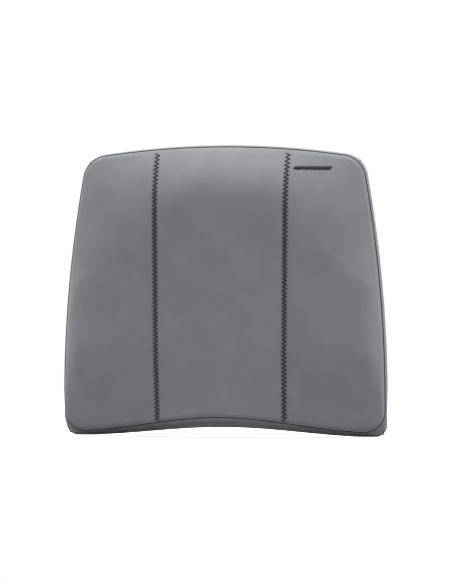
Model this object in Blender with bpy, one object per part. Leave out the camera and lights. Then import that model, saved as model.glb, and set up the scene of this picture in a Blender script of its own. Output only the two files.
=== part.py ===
"""Lumbar support cushion for an office chair, as an assembly of separate pieces.

A moulded foam core sits in a sewn cover of three front panels, a six-piece band and a zipped back.
A strap with a side-release buckle and an adjuster runs across the back and holds the cushion to a chair.

Metres, +Z up. The cushion stands upright with its front towards -Y. The back of the cover lies in the
plane y = 0, and the origin is the point of the back that rests against a chair, in the middle of its width.
Heights named *_UP are measured from the lowest point of the cover.
"""

import math

import bmesh
import bpy
import numpy as np

MM = 0.001
GAP = 0.3 * MM  # clearance between pieces that touch

# Outline of the cover, seen from the front
HALF_WIDTH = 185 * MM  # at the widest height
WIDEST_UP = 39 * MM
SIDE_RADIUS = 1475 * MM  # the sides are long shallow arcs
HEIGHT = 331 * MM
TOP_RADIUS = 950 * MM
TOP_CORNER = 28 * MM
BOTTOM_CORNER = 14 * MM
ARCH_RISE = 9.8 * MM  # the lower edge arches up between two level feet
FOOT_LENGTH = 13 * MM
ORIGIN_UP = 130 * MM  # height of the origin above the feet

# The front edge is drawn in from the back edge all round
SIDE_DRAW = 2.0 * MM
TOP_DRAW = 2.5 * MM
BOTTOM_SLOPE = 0.245  # rise of the lower band for each unit of depth
FRONT_BOTTOM_CORNER = 24 * MM

# Relief of the front
RIM_DEPTH = 24 * MM  # depth of the cushion at its sides and top
LUMBAR_DEPTH = 60 * MM  # depth in the middle of the lumbar pad
SIDE_FALL = 14 * MM  # how much the pad falls away towards its sides
FALL_AT = 140 * MM  # distance from the middle where SIDE_FALL is reached
CORNER_DROP = 16 * MM  # further fall towards the lower corners
DROP_AT = 130 * MM
DROP_HEIGHT = 110 * MM
CREST_BELOW_TOP = 59 * MM  # the arched crest of the pad, under the top edge
CREST_CURVE = 3.8  # its parabola, per metre
POLE_UP = 10 * MM  # point that the crest and the edge are measured from
EDGE_ROLL = 16 * MM  # narrowest shoulder, along the lower sides
SHOULDER_POWER = 2.2
CREASE = 0.3  # sharpness of the crest on its flanks

# Cover
COVER = 3 * MM  # thickness of the laminated knit
FRONT_SEAM_GAP = 0.9 * MM  # between the front panels and the band
CORE_CLEARANCE = 0.8 * MM  # round the sides of the core
PANEL_SEAM_TOP = 74.5 * MM  # distance of each panel seam from the middle
PANEL_SEAM_BOTTOM = 72 * MM
BAND_JOINT = 82 * MM  # distance of the lower band's joints from the middle
STITCH_PITCH = 4.55 * MM
STITCH_WIDTH = 6.3 * MM
THREAD_RADIUS = 0.55 * MM
STITCH_LIFT = 1.0 * MM  # thread centre above the panels
MARK_X = 103 * MM
MARK_BELOW_TOP = 27 * MM
MARK_LENGTH = 44 * MM
MARK_HEIGHT = 6 * MM
TRIM = 0.8 * MM  # thickness of stitched trim
LABEL_X = 118 * MM
LABEL_UP = 262 * MM
LABEL_WIDTH = 44 * MM
LABEL_HEIGHT = 28 * MM
LABEL_THICKNESS = 0.5 * MM

# Zip across the lower back
ZIP_UP = 36 * MM
ZIP_HALF = 112 * MM  # half the length of the coils
ZIP_WINDOW = 14 * MM  # height of the opening between the back panels
ZIP_SPLIT = 1.2 * MM  # space between the two coils
COIL_WIDTH = 2.8 * MM
COIL_THICKNESS = 2.2 * MM
TAPE_WIDTH = 14 * MM
TAPE_THICKNESS = 0.8 * MM
STOP_LENGTH = 3 * MM
SLIDER_LENGTH = 14 * MM
SLIDER_WIDTH = 9.2 * MM
SLIDER_PLATE = 1.2 * MM
BAIL_LENGTH = 9 * MM
BAIL_WIDTH = 1.6 * MM
BAIL_RISE = 2.2 * MM  # free height under the slider's bail
BAIL_THICKNESS = 1 * MM
TAB_BAR = 1.2 * MM
TAB_ARM = 1.3 * MM
TAB_EYE = 7.5 * MM
TAB_LENGTH = 27 * MM
TAB_WIDTH = 8 * MM

# Strap across the back
STRAP_UP = 190 * MM
STRAP_WIDTH = 38 * MM
STRAP_THICKNESS = 1.6 * MM
STRAP_STAND = 14 * MM  # clear space between the back and the strap
STRAP_LEVEL_HALF = 128 * MM  # half the length of the level middle stretch
STRAP_EDGE = 1.5 * MM  # how far its ends stop short of the cover's edge
STRAP_LANDING = 12 * MM  # length of each end that lies on the cover
LAYER_SPACE = 0.6 * MM
TAIL_END = 122 * MM
ELASTIC_TAIL_END = 46 * MM
BARTACK_WIDTH = 2.4 * MM

# Buckle and adjuster
PLATE_HALF_HEIGHT = STRAP_WIDTH / 2 + 5 * MM
SLOT_HALF_HEIGHT = STRAP_WIDTH / 2 + 1.5 * MM
WEB_BAR = 3.4 * MM
WRAP_CLEARANCE = 1.0 * MM  # between a web bar and the strap round it
SOCKET_LENGTH = 40 * MM
SOCKET_MOUTH = 2 * MM  # x of the socket's mouth
SOCKET_THICKNESS = 11 * MM
CHANNEL_DEPTH = 26 * MM
CHANNEL_HALF_HEIGHT = STRAP_WIDTH / 2 + 0.3 * MM
CHANNEL_THICKNESS = 6.4 * MM
WINDOW_START = 9 * MM  # from the mouth
WINDOW_LENGTH = 10 * MM
PLUG_BASE = 12 * MM
PLUG_THICKNESS = 9 * MM
TONGUE_LENGTH = 22 * MM
TONGUE_HALF_HEIGHT = 5 * MM
TONGUE_THICKNESS = 4.4 * MM
PRONG_LENGTH = 23 * MM
PRONG_ROOT = 11.5 * MM  # inner face of a prong, from the buckle's middle
PRONG_WIDTH = 5 * MM
BARB_OUT = 2 * MM  # how far a barb stands into its window
PRONG_THICKNESS = 5 * MM
ADJUSTER_X = -90 * MM
ADJUSTER_LENGTH = 26 * MM
ADJUSTER_BAR = 5 * MM
ADJUSTER_PLATE = 2.2 * MM
ADJUSTER_MIDDLE_BAR = 7 * MM

# Heights and depths that follow
FLOOR = -ORIGIN_UP
STRAP_Z = FLOOR + STRAP_UP
ZIP_Z = FLOOR + ZIP_UP
INNER_LAYER = STRAP_STAND + STRAP_THICKNESS / 2
CORE_INSET = COVER + CORE_CLEARANCE
OUTER_LAYER = INNER_LAYER + STRAP_THICKNESS + LAYER_SPACE
STRAP_MIDDLE = (INNER_LAYER + OUTER_LAYER) / 2
CREST_UP = HEIGHT - CREST_BELOW_TOP


def clear_scene():
    for thing in list(bpy.data.objects):
        bpy.data.objects.remove(thing)


def material(name, colour, roughness, metallic=0.0):
    made = bpy.data.materials.new(name)
    made.use_nodes = True
    shader = made.node_tree.nodes["Principled BSDF"]
    shader.inputs["Base Color"].default_value = (*colour, 1.0)
    shader.inputs["Roughness"].default_value = roughness
    shader.inputs["Metallic"].default_value = metallic
    return made


def add_mesh(name, points, faces, finish=None, smooth=False):
    """A new object from points and faces, which must already face outwards."""
    mesh = bpy.data.meshes.new(name)
    mesh.from_pydata([tuple(map(float, p)) for p in points], [], faces)
    mesh.update()
    if smooth:
        mesh.shade_smooth()
        mesh.set_sharp_from_angle(angle=math.radians(40))
    thing = bpy.data.objects.new(name, mesh)
    bpy.context.collection.objects.link(thing)
    if finish:
        mesh.materials.append(finish)
    return thing


def grid_faces(rows, columns, first=0):
    """Quads of a grid of points stored row by row."""
    return [
        (first + r * columns + c, first + r * columns + c + 1,
         first + (r + 1) * columns + c + 1, first + (r + 1) * columns + c)
        for r in range(rows - 1)
        for c in range(columns - 1)
    ]


def swept_solid(name, rails, finish, smooth=True):
    """A closed solid along rails, an array of (rail, station, xyz). The rails go round the section."""
    rails = np.asarray(rails, float)
    around, along = rails.shape[:2]
    faces = [
        (a * along + s, a * along + s + 1, (a + 1) % around * along + s + 1, (a + 1) % around * along + s)
        for a in range(around)
        for s in range(along - 1)
    ]
    faces.append(tuple(a * along for a in range(around)))
    faces.append(tuple(a * along + along - 1 for a in reversed(range(around))))
    points = rails.reshape(-1, 3)
    if signed_volume(points, faces) < 0:
        faces = [tuple(reversed(face)) for face in faces]
    return add_mesh(name, points, faces, finish, smooth)


def signed_volume(points, faces):
    total = 0.0
    for face in faces:
        a = points[face[0]]
        for b, c in zip(face[1:], face[2:]):
            total += np.dot(a, np.cross(points[b], points[c]))
    return total


def plate(name, outline, y_low, y_high, finish=None, smooth=False):
    """A flat piece: a closed outline of (x, z) points, extruded from y_low to y_high."""
    rails = [[(x, y_low, z), (x, y_high, z)] for x, z in outline]
    return swept_solid(name, rails, finish, smooth)


def block(name, low, high, finish=None):
    outline = [(low[0], low[2]), (high[0], low[2]), (high[0], high[2]), (low[0], high[2])]
    return plate(name, outline, low[1], high[1], finish)


def centred_block(name, x_range, y_middle, thickness, half_height, z_middle=STRAP_Z, finish=None):
    low = (x_range[0], y_middle - thickness / 2, z_middle - half_height)
    high = (x_range[1], y_middle + thickness / 2, z_middle + half_height)
    return block(name, low, high, finish)


def combine(body, tool, operation):
    """A live Boolean, with its tool kept as a hidden guide."""
    tool.hide_render = True
    tool.display_type = "WIRE"
    step = body.modifiers.new(tool.name, "BOOLEAN")
    step.operation = operation
    step.object = tool
    step.solver = "EXACT"
    return body


def soften(body, width):
    step = body.modifiers.new("soft edges", "BEVEL")
    step.width = width
    step.segments = 1
    step.limit_method = "ANGLE"
    return body


# Outline


def smooth_step(t):
    """0 below 0, 1 above 1, and a smooth curve between."""
    t = np.clip(t, 0, 1)
    return t * t * (3 - 2 * t)


def lumbar_depth(x, up):
    """Depth of the lumbar pad itself: it falls away to the sides, and more at the lower corners."""
    fall = SIDE_FALL * (x / FALL_AT) ** 2
    drop = CORNER_DROP * smooth_step(np.abs(x) / DROP_AT) * (1 - smooth_step(up / DROP_HEIGHT))
    return np.maximum(LUMBAR_DEPTH - fall - drop, RIM_DEPTH - 4 * MM)


def lower_edge(x, front):
    """Height of the lower edge: a cosine arch between two level feet, raised with depth at the front."""
    reach = HALF_WIDTH - FOOT_LENGTH
    arch = ARCH_RISE * 0.5 * (1 + np.cos(np.pi * np.clip(np.abs(x) / reach, 0, 1)))
    return arch + (BOTTOM_SLOPE * lumbar_depth(x, 0 * x) if front else 0)


def circle_meeting(first, first_radius, second, second_radius):
    """The meeting point of two circles that lies furthest to the right."""
    first, second = np.array(first), np.array(second)
    apart = second - first
    distance = np.hypot(*apart)
    along = (distance**2 + first_radius**2 - second_radius**2) / (2 * distance)
    across = math.sqrt(first_radius**2 - along**2)
    unit = apart / distance
    side = np.array([unit[1], -unit[0]])
    return max(first + along * unit + across * side, first + along * unit - across * side, key=lambda p: p[0])


def arc(centre, radius, start, end, t):
    angle = start + (end - start) * t
    return centre[0] + radius * math.cos(angle), centre[1] + radius * math.sin(angle)


def angle_from(centre, point):
    return math.atan2(point[1] - centre[1], point[0] - centre[0])


class Outline:
    """The cover's edge, at the back or at the front. Its right half is six runs, at u = 0 to 6:
    lower edge to the band joint, lower edge to the corner, corner, side, top corner, top.
    A negative u is the same point on the left half."""

    def __init__(self, front):
        self.front = front
        half_width = HALF_WIDTH - (SIDE_DRAW if front else 0)
        top = HEIGHT - (TOP_DRAW if front else 0)
        corner = FRONT_BOTTOM_CORNER if front else BOTTOM_CORNER
        self.side = (half_width - SIDE_RADIUS, WIDEST_UP)
        self.crown = (0.0, top - TOP_RADIUS)
        foot = float(lower_edge(np.array(half_width - corner), front))
        reach = SIDE_RADIUS - corner
        low_x = self.side[0] + math.sqrt(reach**2 - (foot + corner - WIDEST_UP) ** 2)
        self.low = (low_x, foot + corner)
        self.low_radius = corner
        self.high = circle_meeting(self.side, SIDE_RADIUS - TOP_CORNER, self.crown, TOP_RADIUS - TOP_CORNER)

    def right(self, u):
        run, t = min(int(u), 5), u - min(int(u), 5)
        low_turn = angle_from(self.side, self.low)
        high_turn = angle_from(self.side, self.high)
        crown_turn = angle_from(self.crown, self.high)
        if run == 0:
            x = BAND_JOINT * t
            return x, float(lower_edge(np.array(x), self.front))
        if run == 1:
            x = BAND_JOINT + (self.low[0] - BAND_JOINT) * t
            return x, float(lower_edge(np.array(x), self.front))
        if run == 2:
            return arc(self.low, self.low_radius, -math.pi / 2, low_turn, t)
        if run == 3:
            return arc(self.side, SIDE_RADIUS, low_turn, high_turn, t)
        if run == 4:
            return arc(self.high, TOP_CORNER, high_turn, crown_turn, t)
        return arc(self.crown, TOP_RADIUS, crown_turn, math.pi / 2, t)

    def point(self, u):
        x, up = self.right(abs(u))
        return np.array([math.copysign(x, u) if u else x, up])

    def normal(self, u):
        """Outward unit normal, from two points close to u."""
        near = 1e-4
        after = self.point(min(u + near, 6.0))
        before = self.point(max(u - near, -6.0))
        along = after - before
        return np.array([along[1], -along[0]]) / np.hypot(*along)

    def inset(self, u, amount):
        return self.point(u) - amount * self.normal(u)

    def moved(self, u, distance):
        """The place that lies this distance further along the edge from u."""
        near = 1e-3
        length = np.hypot(*(self.point(u + near) - self.point(u))) / near
        return u + distance / length


BACK = Outline(front=False)
FRONT = Outline(front=True)
RUN_STEPS = (4, 7, 6, 8, 6, 7)
RING_SHARES = (0.06, 0.11, 0.18, 0.28, 0.4, 0.62, 0.86)
RING_MIDDLE_UP = 150 * MM
REST_TOP_PLACE = 3.5  # place on the edge, halfway up the side, where the rest area ends


def places(start, end):
    """Values of u from start to end, closer together where the edge curves more."""
    knots = [r + s / n for r, n in enumerate(RUN_STEPS) for s in range(n)] + [6.0]
    knots = sorted({-k for k in knots} | set(knots))
    inner = [k for k in knots if start + 0.02 < k < end - 0.02]
    return [start, *inner, end]


# Relief of the front


def edge_distance(angle):
    """Distance from the pole to the front edge, at an angle above the horizontal."""
    edge = np.array([FRONT.point(u) for u in np.linspace(2.0, 6.0, 400)])
    angles = np.arctan2(edge[:, 1] - POLE_UP, edge[:, 0])
    order = np.argsort(angles)
    return np.interp(angle, angles[order], np.hypot(edge[:, 0], edge[:, 1] - POLE_UP)[order])


def crest_distance(angle):
    """Distance from the pole to the crest, a parabola: the positive root along a ray at this angle."""
    rise = CREST_UP - POLE_UP
    sine, cosine = np.sin(angle), np.cos(angle)
    return 2 * rise / (sine + np.sqrt(sine**2 + 4 * CREST_CURVE * cosine**2 * rise))


def relief(x, up):
    """Depth of the front face. From the rim it rises over the shoulder to the crest, then holds the
    pad's own depth. The rise is 1 - (1 - t)^p, mixed with a straight rise on the flanks."""
    x, up = np.abs(np.asarray(x, float)), np.asarray(up, float)
    angle = np.arctan2(up - POLE_UP, x)
    radius = np.hypot(x, up - POLE_UP)
    edge = edge_distance(angle)
    crest = np.minimum(crest_distance(angle), edge - EDGE_ROLL)
    t = np.clip((edge - radius) / (edge - crest), 0, 1)
    straight = CREASE * np.cos(angle)
    rise = straight * t + (1 - straight) * (1 - (1 - t) ** SHOULDER_POWER)
    return RIM_DEPTH + (lumbar_depth(x, up) - RIM_DEPTH) * rise


def seam_x(up):
    """Distance of a panel seam from the middle, at this height."""
    return PANEL_SEAM_BOTTOM + (PANEL_SEAM_TOP - PANEL_SEAM_BOTTOM) * up / HEIGHT


def front_rings():
    """Points (x, up, depth) of the front face: rings from the edge inwards, and the point they close on.
    The first is the edge, and the second lies over the edge of the core."""
    stations = places(-6.0, 6.0)[:-1]
    edge = np.array([FRONT.point(u) for u in stations])
    middle = np.array([0.0, RING_MIDDLE_UP])
    inward = middle - edge
    inset = -CORE_INSET / np.sum(inward * np.array([FRONT.normal(u) for u in stations]), axis=1)
    shares = np.stack([0 * inset, inset] + [0 * inset + share for share in RING_SHARES])
    plan = edge + inward * shares[..., None]
    depth = relief(plan[..., 0], plan[..., 1])
    rings = np.concatenate([plan, depth[..., None]], axis=-1)
    return rings, np.array([*middle, float(relief(*middle))])


def dome(rings, centre, shift, first, flip):
    """Points and faces of rings moved by shift in y, closed by a fan round the centre. The two halves
    are mirror images."""
    count = rings.shape[1]
    flat = np.concatenate([rings.reshape(-1, 3), centre[None]])
    points = np.stack([flat[:, 0], shift - flat[:, 2], flat[:, 1] + FLOOR], axis=-1)
    faces = []
    for r in range(len(rings) - 1):
        for s in range(count):
            a, b = first + r * count + s, first + r * count + (s + 1) % count
            if s < count // 2:
                faces += [(a, b, a + count), (b, b + count, a + count)]
            else:
                faces += [(a, b, b + count), (a, b + count, a + count)]
    last = first + (len(rings) - 1) * count
    faces += [(last + s, last + (s + 1) % count, first + len(flat) - 1) for s in range(count)]
    return points, [tuple(reversed(face)) for face in faces] if flip else faces


def skirt(count, first, second):
    """Quads that join two closed rings of points."""
    return [(first + s, second + s, second + (s + 1) % count, first + (s + 1) % count) for s in range(count)]


def closed_solid(name, parts, faces, finish):
    points = np.concatenate(parts)
    if signed_volume(points, faces) < 0:
        faces = [tuple(reversed(face)) for face in faces]
    return add_mesh(name, points, faces, finish, smooth=True)


# Cover and core


def on_edge(u, depth, inset):
    """A point of the edge face, which is ruled from the back edge to the front edge, or inside it."""
    share = depth / float(relief(*FRONT.point(u)))
    x, up = (1 - share) * BACK.inset(u, inset) + share * FRONT.inset(u, inset)
    return x, -depth, up + FLOOR


def make_core(finish):
    """The moulded foam block, with a shallow channel behind the zip. Its front runs under the panels, and
    its sides go straight back from the front edge to the back edge, inside the band."""
    inside = COVER + GAP
    stations = places(-6.0, 6.0)[:-1]
    rings, centre = front_rings()
    front, faces = dome(rings[1:], centre, inside, 0, False)
    rear = np.array([on_edge(u, inside, CORE_INSET) for u in stations])
    start = len(front)
    faces += skirt(len(stations), 0, start)
    faces.append(tuple(start + s for s in reversed(range(len(stations)))))
    core = closed_solid("foam_core", [front, rear], faces, finish)
    half = ZIP_HALF + STOP_LENGTH + 9 * MM
    reach = TAPE_WIDTH + ZIP_SPLIT + 2 * MM
    deep = inside + TAPE_THICKNESS + SLIDER_PLATE + 4 * GAP
    channel = block("guide_zip_channel", (-half, -deep, ZIP_Z - reach), (half, 1 * MM, ZIP_Z + reach))
    return combine(core, channel, "DIFFERENCE")


def front_slab(name, left, right):
    """A guide from top to bottom between two slanting sides, given as multiples of the seams' distance."""
    over = 10 * MM
    low, high = FLOOR - over, FLOOR + HEIGHT + over
    outline = [
        (left(-over), low),
        (right(-over), low),
        (right(HEIGHT + over), high),
        (left(HEIGHT + over), high),
    ]
    return plate(name, outline, -2 * LUMBAR_DEPTH, 10 * MM)


def make_front_panels(finish):
    """Three panels: one curved sheet as thick as the cover, parted along the two seams."""
    wide = HALF_WIDTH + 10 * MM
    sides = {
        "front_panel_left": (lambda h: -wide, lambda h: -seam_x(h) - GAP / 2),
        "front_panel_center": (lambda h: -seam_x(h) + GAP / 2, lambda h: seam_x(h) - GAP / 2),
        "front_panel_right": (lambda h: seam_x(h) + GAP / 2, lambda h: wide),
    }
    rings, centre = front_rings()
    for name, (left, right) in sides.items():
        front, faces = dome(rings, centre, 0.0, 0, False)
        rear, rear_faces = dome(rings, centre, COVER, len(front), True)
        faces += rear_faces + skirt(rings.shape[1], 0, len(front))
        panel = closed_solid(name, [front, rear], faces, finish)
        combine(panel, front_slab(f"guide_{name}", left, right), "INTERSECT")


def make_band(name, stations, finish):
    """One piece of the band, through these places on the edge. Its outer face is ruled from the back edge
    to the front edge."""
    rails = [[], [], [], []]
    for u in stations:
        seam_depth = float(relief(*FRONT.point(u)))
        rear, front = COVER + GAP, seam_depth - COVER - FRONT_SEAM_GAP
        for rail, depth, inset in zip(rails, (rear, front, front, rear), (0, 0, COVER, COVER)):
            x, y, z = on_edge(u, depth, inset)
            under = float(relief(x, z - FLOOR)) - COVER - FRONT_SEAM_GAP
            rail.append(on_edge(u, min(depth, under), inset))
    return swept_solid(name, rails, finish)


def make_bands(finish):
    """Pieces that meet half a gap from the same places. The top one crosses the middle."""
    corner, shoulder = 2.5, 4.5
    ends = {
        "band_bottom_center": (-1.0, 1.0),
        "band_bottom_right": (1.0, corner),
        "band_bottom_left": (-corner, -1.0),
        "band_right": (corner, shoulder),
        "band_left": (-shoulder, -corner),
    }
    for name, (start, end) in ends.items():
        make_band(name, places(BACK.moved(start, GAP / 2), BACK.moved(end, -GAP / 2)), finish)
    half = places(BACK.moved(shoulder, GAP / 2), 6.0)
    make_band("band_top", half + [-u for u in reversed(half[:-1])], finish)


def clipped(outline, level, keep_above):
    """The part of a closed outline on one side of a level line."""
    sign = 1 if keep_above else -1
    kept = []
    for (ax, az), (bx, bz) in zip(outline, outline[1:] + outline[:1]):
        inside, next_inside = sign * (az - level) >= 0, sign * (bz - level) >= 0
        if inside:
            kept.append((ax, az))
        if inside != next_inside:
            share = (level - az) / (bz - az)
            kept.append((ax + share * (bx - ax), level))
    return kept


def with_notch(outline, level, half_length, height):
    """The outline with a rectangular notch in its level edge, along the middle."""
    for i, ((ax, az), (bx, bz)) in enumerate(zip(outline, outline[1:] + outline[:1])):
        if abs(az - level) < 1e-7 and abs(bz - level) < 1e-7:
            sign = math.copysign(1, ax)
            notch = [(sign * half_length, level), (sign * half_length, level + height)]
            notch += [(-sign * half_length, level + height), (-sign * half_length, level)]
            return outline[: i + 1] + notch + outline[i + 1 :]
    raise ValueError("the outline has no level edge")


def part_faces(panel, place):
    """Parts the panel's two large faces along a level line through a place on the edge, so that the rest
    area under the strap is a face of its own."""
    level = BACK.point(place)[1] + FLOOR
    work = bmesh.new()
    work.from_mesh(panel.data)
    for face in [f for f in work.faces if len(f.verts) > 8]:
        ends = [v for v in face.verts if abs(v.co.z - level) < 0.001 * MM]
        bmesh.utils.face_split(face, *ends)
    work.to_mesh(panel.data)
    work.free()


def make_back_panels(finish):
    edge = [BACK.point(u) for u in places(-6.0, 6.0)[:-1]]
    edge = [(float(x), float(up) + FLOOR) for x, up in edge]
    window_half = ZIP_HALF + STOP_LENGTH + 1 * MM
    window = ZIP_WINDOW / 2 - GAP / 2
    for name, above in (("back_panel_upper", True), ("back_panel_lower", False)):
        sign = 1 if above else -1
        level = ZIP_Z + sign * GAP / 2
        outline = with_notch(clipped(edge, level, above), level, window_half, sign * window)
        panel = plate(name, outline, -COVER, 0.0, finish)
        if above:
            part_faces(panel, REST_TOP_PLACE)


def make_seam_thread(name, side, finish):
    """A zigzag thread over a panel seam: straight strands between turns that lie on the panels."""
    margin = 3 * MM
    start = float(lower_edge(np.array(PANEL_SEAM_BOTTOM), True)) + margin
    end = FRONT.point(5.5)[1] - margin
    turns = int((end - start) / (STITCH_PITCH / 2))
    up = start + np.arange(turns) * STITCH_PITCH / 2
    reach = STITCH_WIDTH / 2 - THREAD_RADIUS
    x = side * seam_x(up) + reach * np.where(np.arange(turns) % 2 == 0, 1, -1)
    y = -relief(x, up) - STITCH_LIFT
    curve = bpy.data.curves.new(name, "CURVE")
    curve.dimensions = "3D"
    curve.bevel_depth = THREAD_RADIUS
    curve.bevel_resolution = 0
    curve.use_fill_caps = True
    spline = curve.splines.new("POLY")
    spline.points.add(turns - 1)
    for point, place in zip(spline.points, zip(x, y, up + FLOOR)):
        point.co = (*place, 1.0)
    curve.materials.append(finish)
    thread = bpy.data.objects.new(name, curve)
    bpy.context.collection.objects.link(thread)
    return thread


def make_front_mark(finish):
    """A plain stitched bar that follows the front."""
    x = np.linspace(MARK_X - MARK_LENGTH / 2, MARK_X + MARK_LENGTH / 2, 7)
    rails = []
    middle = HEIGHT - MARK_BELOW_TOP
    for lift, offset in ((0, -1), (1, -1), (1, 1), (0, 1)):
        up = middle + offset * MARK_HEIGHT / 2
        y = -relief(x, np.full_like(x, up)) - 2 * GAP - lift * TRIM
        rails.append(np.stack([x, y, np.full_like(x, up + FLOOR)], axis=-1))
    return swept_solid("front_mark", rails, finish)


def make_care_label(finish):
    low = (LABEL_X - LABEL_WIDTH / 2, GAP, FLOOR + LABEL_UP - LABEL_HEIGHT / 2)
    high = (LABEL_X + LABEL_WIDTH / 2, GAP + LABEL_THICKNESS, FLOOR + LABEL_UP + LABEL_HEIGHT / 2)
    return block("care_label", low, high, finish)


# Zip


TAPE_TOP = -COVER - GAP  # outer face of the tapes, under the back panels
TAPE_BOTTOM = TAPE_TOP - TAPE_THICKNESS
COIL_BOTTOM = TAPE_TOP + GAP
COIL_TOP = COIL_BOTTOM + COIL_THICKNESS
SLIDER_TOP = COIL_TOP + GAP + SLIDER_PLATE
SLIDER_BOTTOM = TAPE_BOTTOM - GAP - SLIDER_PLATE
SLIDER_X = ZIP_HALF - SLIDER_LENGTH / 2 - 2 * MM
TAB_AXIS_Y = SLIDER_TOP + BAIL_RISE / 2


def make_zip_halves(tape_finish, coil_finish):
    tape_half = ZIP_HALF + STOP_LENGTH + 5 * MM
    for name, sign in (("upper", 1), ("lower", -1)):
        near, far = sorted((ZIP_Z + sign * ZIP_SPLIT / 2, ZIP_Z + sign * (ZIP_SPLIT / 2 + TAPE_WIDTH)))
        block(f"zip_tape_{name}", (-tape_half, TAPE_BOTTOM, near), (tape_half, TAPE_TOP, far), tape_finish)
        near, far = sorted((ZIP_Z + sign * ZIP_SPLIT / 2, ZIP_Z + sign * (ZIP_SPLIT / 2 + COIL_WIDTH)))
        coil = block(f"zip_coil_{name}", (-ZIP_HALF, COIL_BOTTOM, near), (ZIP_HALF, COIL_TOP, far), coil_finish)
        soften(coil, COIL_THICKNESS / 4)


def make_zip_stops(finish):
    half_height = ZIP_SPLIT / 2 + COIL_WIDTH
    for name, sign in (("zip_stop_start", 1), ("zip_stop_end", -1)):
        ends = sorted((sign * (ZIP_HALF + GAP), sign * (ZIP_HALF + GAP + STOP_LENGTH)))
        low = (ends[0], COIL_BOTTOM, ZIP_Z - half_height)
        high = (ends[1], COIL_TOP, ZIP_Z + half_height)
        soften(block(name, low, high, finish), COIL_THICKNESS / 5)


def make_zip_slider(finish):
    """Two plates round the coils and tapes, a web between the coils, and the bail that holds the tab."""
    half_length, half_width = SLIDER_LENGTH / 2, SLIDER_WIDTH / 2
    low = (SLIDER_X - half_length, SLIDER_BOTTOM, ZIP_Z - half_width)
    high = (SLIDER_X + half_length, SLIDER_TOP, ZIP_Z + half_width)
    slider = block("zip_slider", low, high, finish)
    web = ZIP_SPLIT / 2 - GAP
    for name, sign in (("upper", 1), ("lower", -1)):
        near, far = sorted((ZIP_Z + sign * web, ZIP_Z + sign * (half_width + 1 * MM)))
        low = (SLIDER_X - SLIDER_LENGTH, TAPE_BOTTOM - GAP, near)
        high = (SLIDER_X + SLIDER_LENGTH, COIL_TOP + GAP, far)
        combine(slider, block(f"guide_slider_{name}", low, high), "DIFFERENCE")
    bail_top = SLIDER_TOP + BAIL_RISE + BAIL_THICKNESS
    low = (SLIDER_X - BAIL_LENGTH / 2, SLIDER_TOP - 0.5 * MM, ZIP_Z - BAIL_WIDTH / 2)
    high = (SLIDER_X + BAIL_LENGTH / 2, bail_top, ZIP_Z + BAIL_WIDTH / 2)
    combine(slider, block("guide_bail", low, high), "UNION")
    post = 1.2 * MM
    low = (SLIDER_X - BAIL_LENGTH / 2 + post, SLIDER_TOP, ZIP_Z - BAIL_WIDTH)
    high = (SLIDER_X + BAIL_LENGTH / 2 - post, SLIDER_TOP + BAIL_RISE, ZIP_Z + BAIL_WIDTH)
    return combine(slider, block("guide_bail_eye", low, high), "DIFFERENCE")


def make_zip_pull_tab(finish):
    """A flat tab whose bar passes under the bail. It lies along the zip and turns about that bar."""
    bar = TAB_BAR / 2
    low_y, high_y = TAB_AXIS_Y - bar, TAB_AXIS_Y + bar
    tab_end = SLIDER_X - TAB_LENGTH
    half = TAB_WIDTH / 2
    outline = [
        (SLIDER_X + bar, ZIP_Z - half),
        (SLIDER_X + bar, ZIP_Z + half),
        (SLIDER_X - TAB_EYE - 2 * MM, ZIP_Z + half),
        (tab_end + 2 * MM, ZIP_Z + half * 0.8),
        (tab_end, ZIP_Z + half * 0.5),
        (tab_end, ZIP_Z - half * 0.5),
        (tab_end + 2 * MM, ZIP_Z - half * 0.8),
        (SLIDER_X - TAB_EYE - 2 * MM, ZIP_Z - half),
    ]
    tab = plate("zip_pull_tab", outline, low_y, high_y, finish)
    low = (SLIDER_X - TAB_EYE, low_y - 1 * MM, ZIP_Z - half + TAB_ARM)
    high = (SLIDER_X - bar, high_y + 1 * MM, ZIP_Z + half - TAB_ARM)
    return combine(tab, block("guide_tab_eye", low, high), "DIFFERENCE")


# Strap


def rounded_path(corners, radius):
    """Points along straight runs, with each inner corner rounded by a quadratic curve."""
    corners = [np.array(c, float) for c in corners]
    path = [corners[0]]
    for before, corner, after in zip(corners, corners[1:], corners[2:]):
        start = corner + (before - corner) / np.linalg.norm(before - corner) * radius
        end = corner + (after - corner) / np.linalg.norm(after - corner) * radius
        for t in np.linspace(0, 1, 6):
            path.append((1 - t) ** 2 * start + 2 * t * (1 - t) * corner + t**2 * end)
    path.append(corners[-1])
    return path


def wrap(bar_x, side):
    """A half turn round a web bar, from the inner layer to the outer one, as (x, y) points. The strap
    comes in and leaves on the given side of the bar."""
    radius = WEB_BAR / 2 + WRAP_CLEARANCE + STRAP_THICKNESS / 2
    angles = np.linspace(-math.pi / 2, math.pi / 2, 13)
    return [(bar_x - side * radius * math.cos(a), STRAP_MIDDLE + radius * math.sin(a)) for a in angles]


def strap_path(bar_x, side, tail_end):
    """The strap's middle line in plan: from its sewn end up to the level stretch, round the bar and back."""
    sewn_x = side * (BACK_EDGE_AT_STRAP - STRAP_EDGE)
    landing_x = sewn_x - side * STRAP_LANDING
    landing_y = GAP + STRAP_THICKNESS / 2
    flare = 9 * MM
    climb = [(sewn_x, landing_y), (landing_x, landing_y), (side * STRAP_LEVEL_HALF, INNER_LAYER)]
    path = rounded_path([*climb, (bar_x + side * 2 * flare, INNER_LAYER)], 9 * MM)
    path += [np.array(p) for p in wrap(bar_x, side)]
    path += [np.array(p) for p in [(bar_x + side * 2 * flare, OUTER_LAYER), (tail_end, OUTER_LAYER)]]
    return np.array(path)


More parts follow.
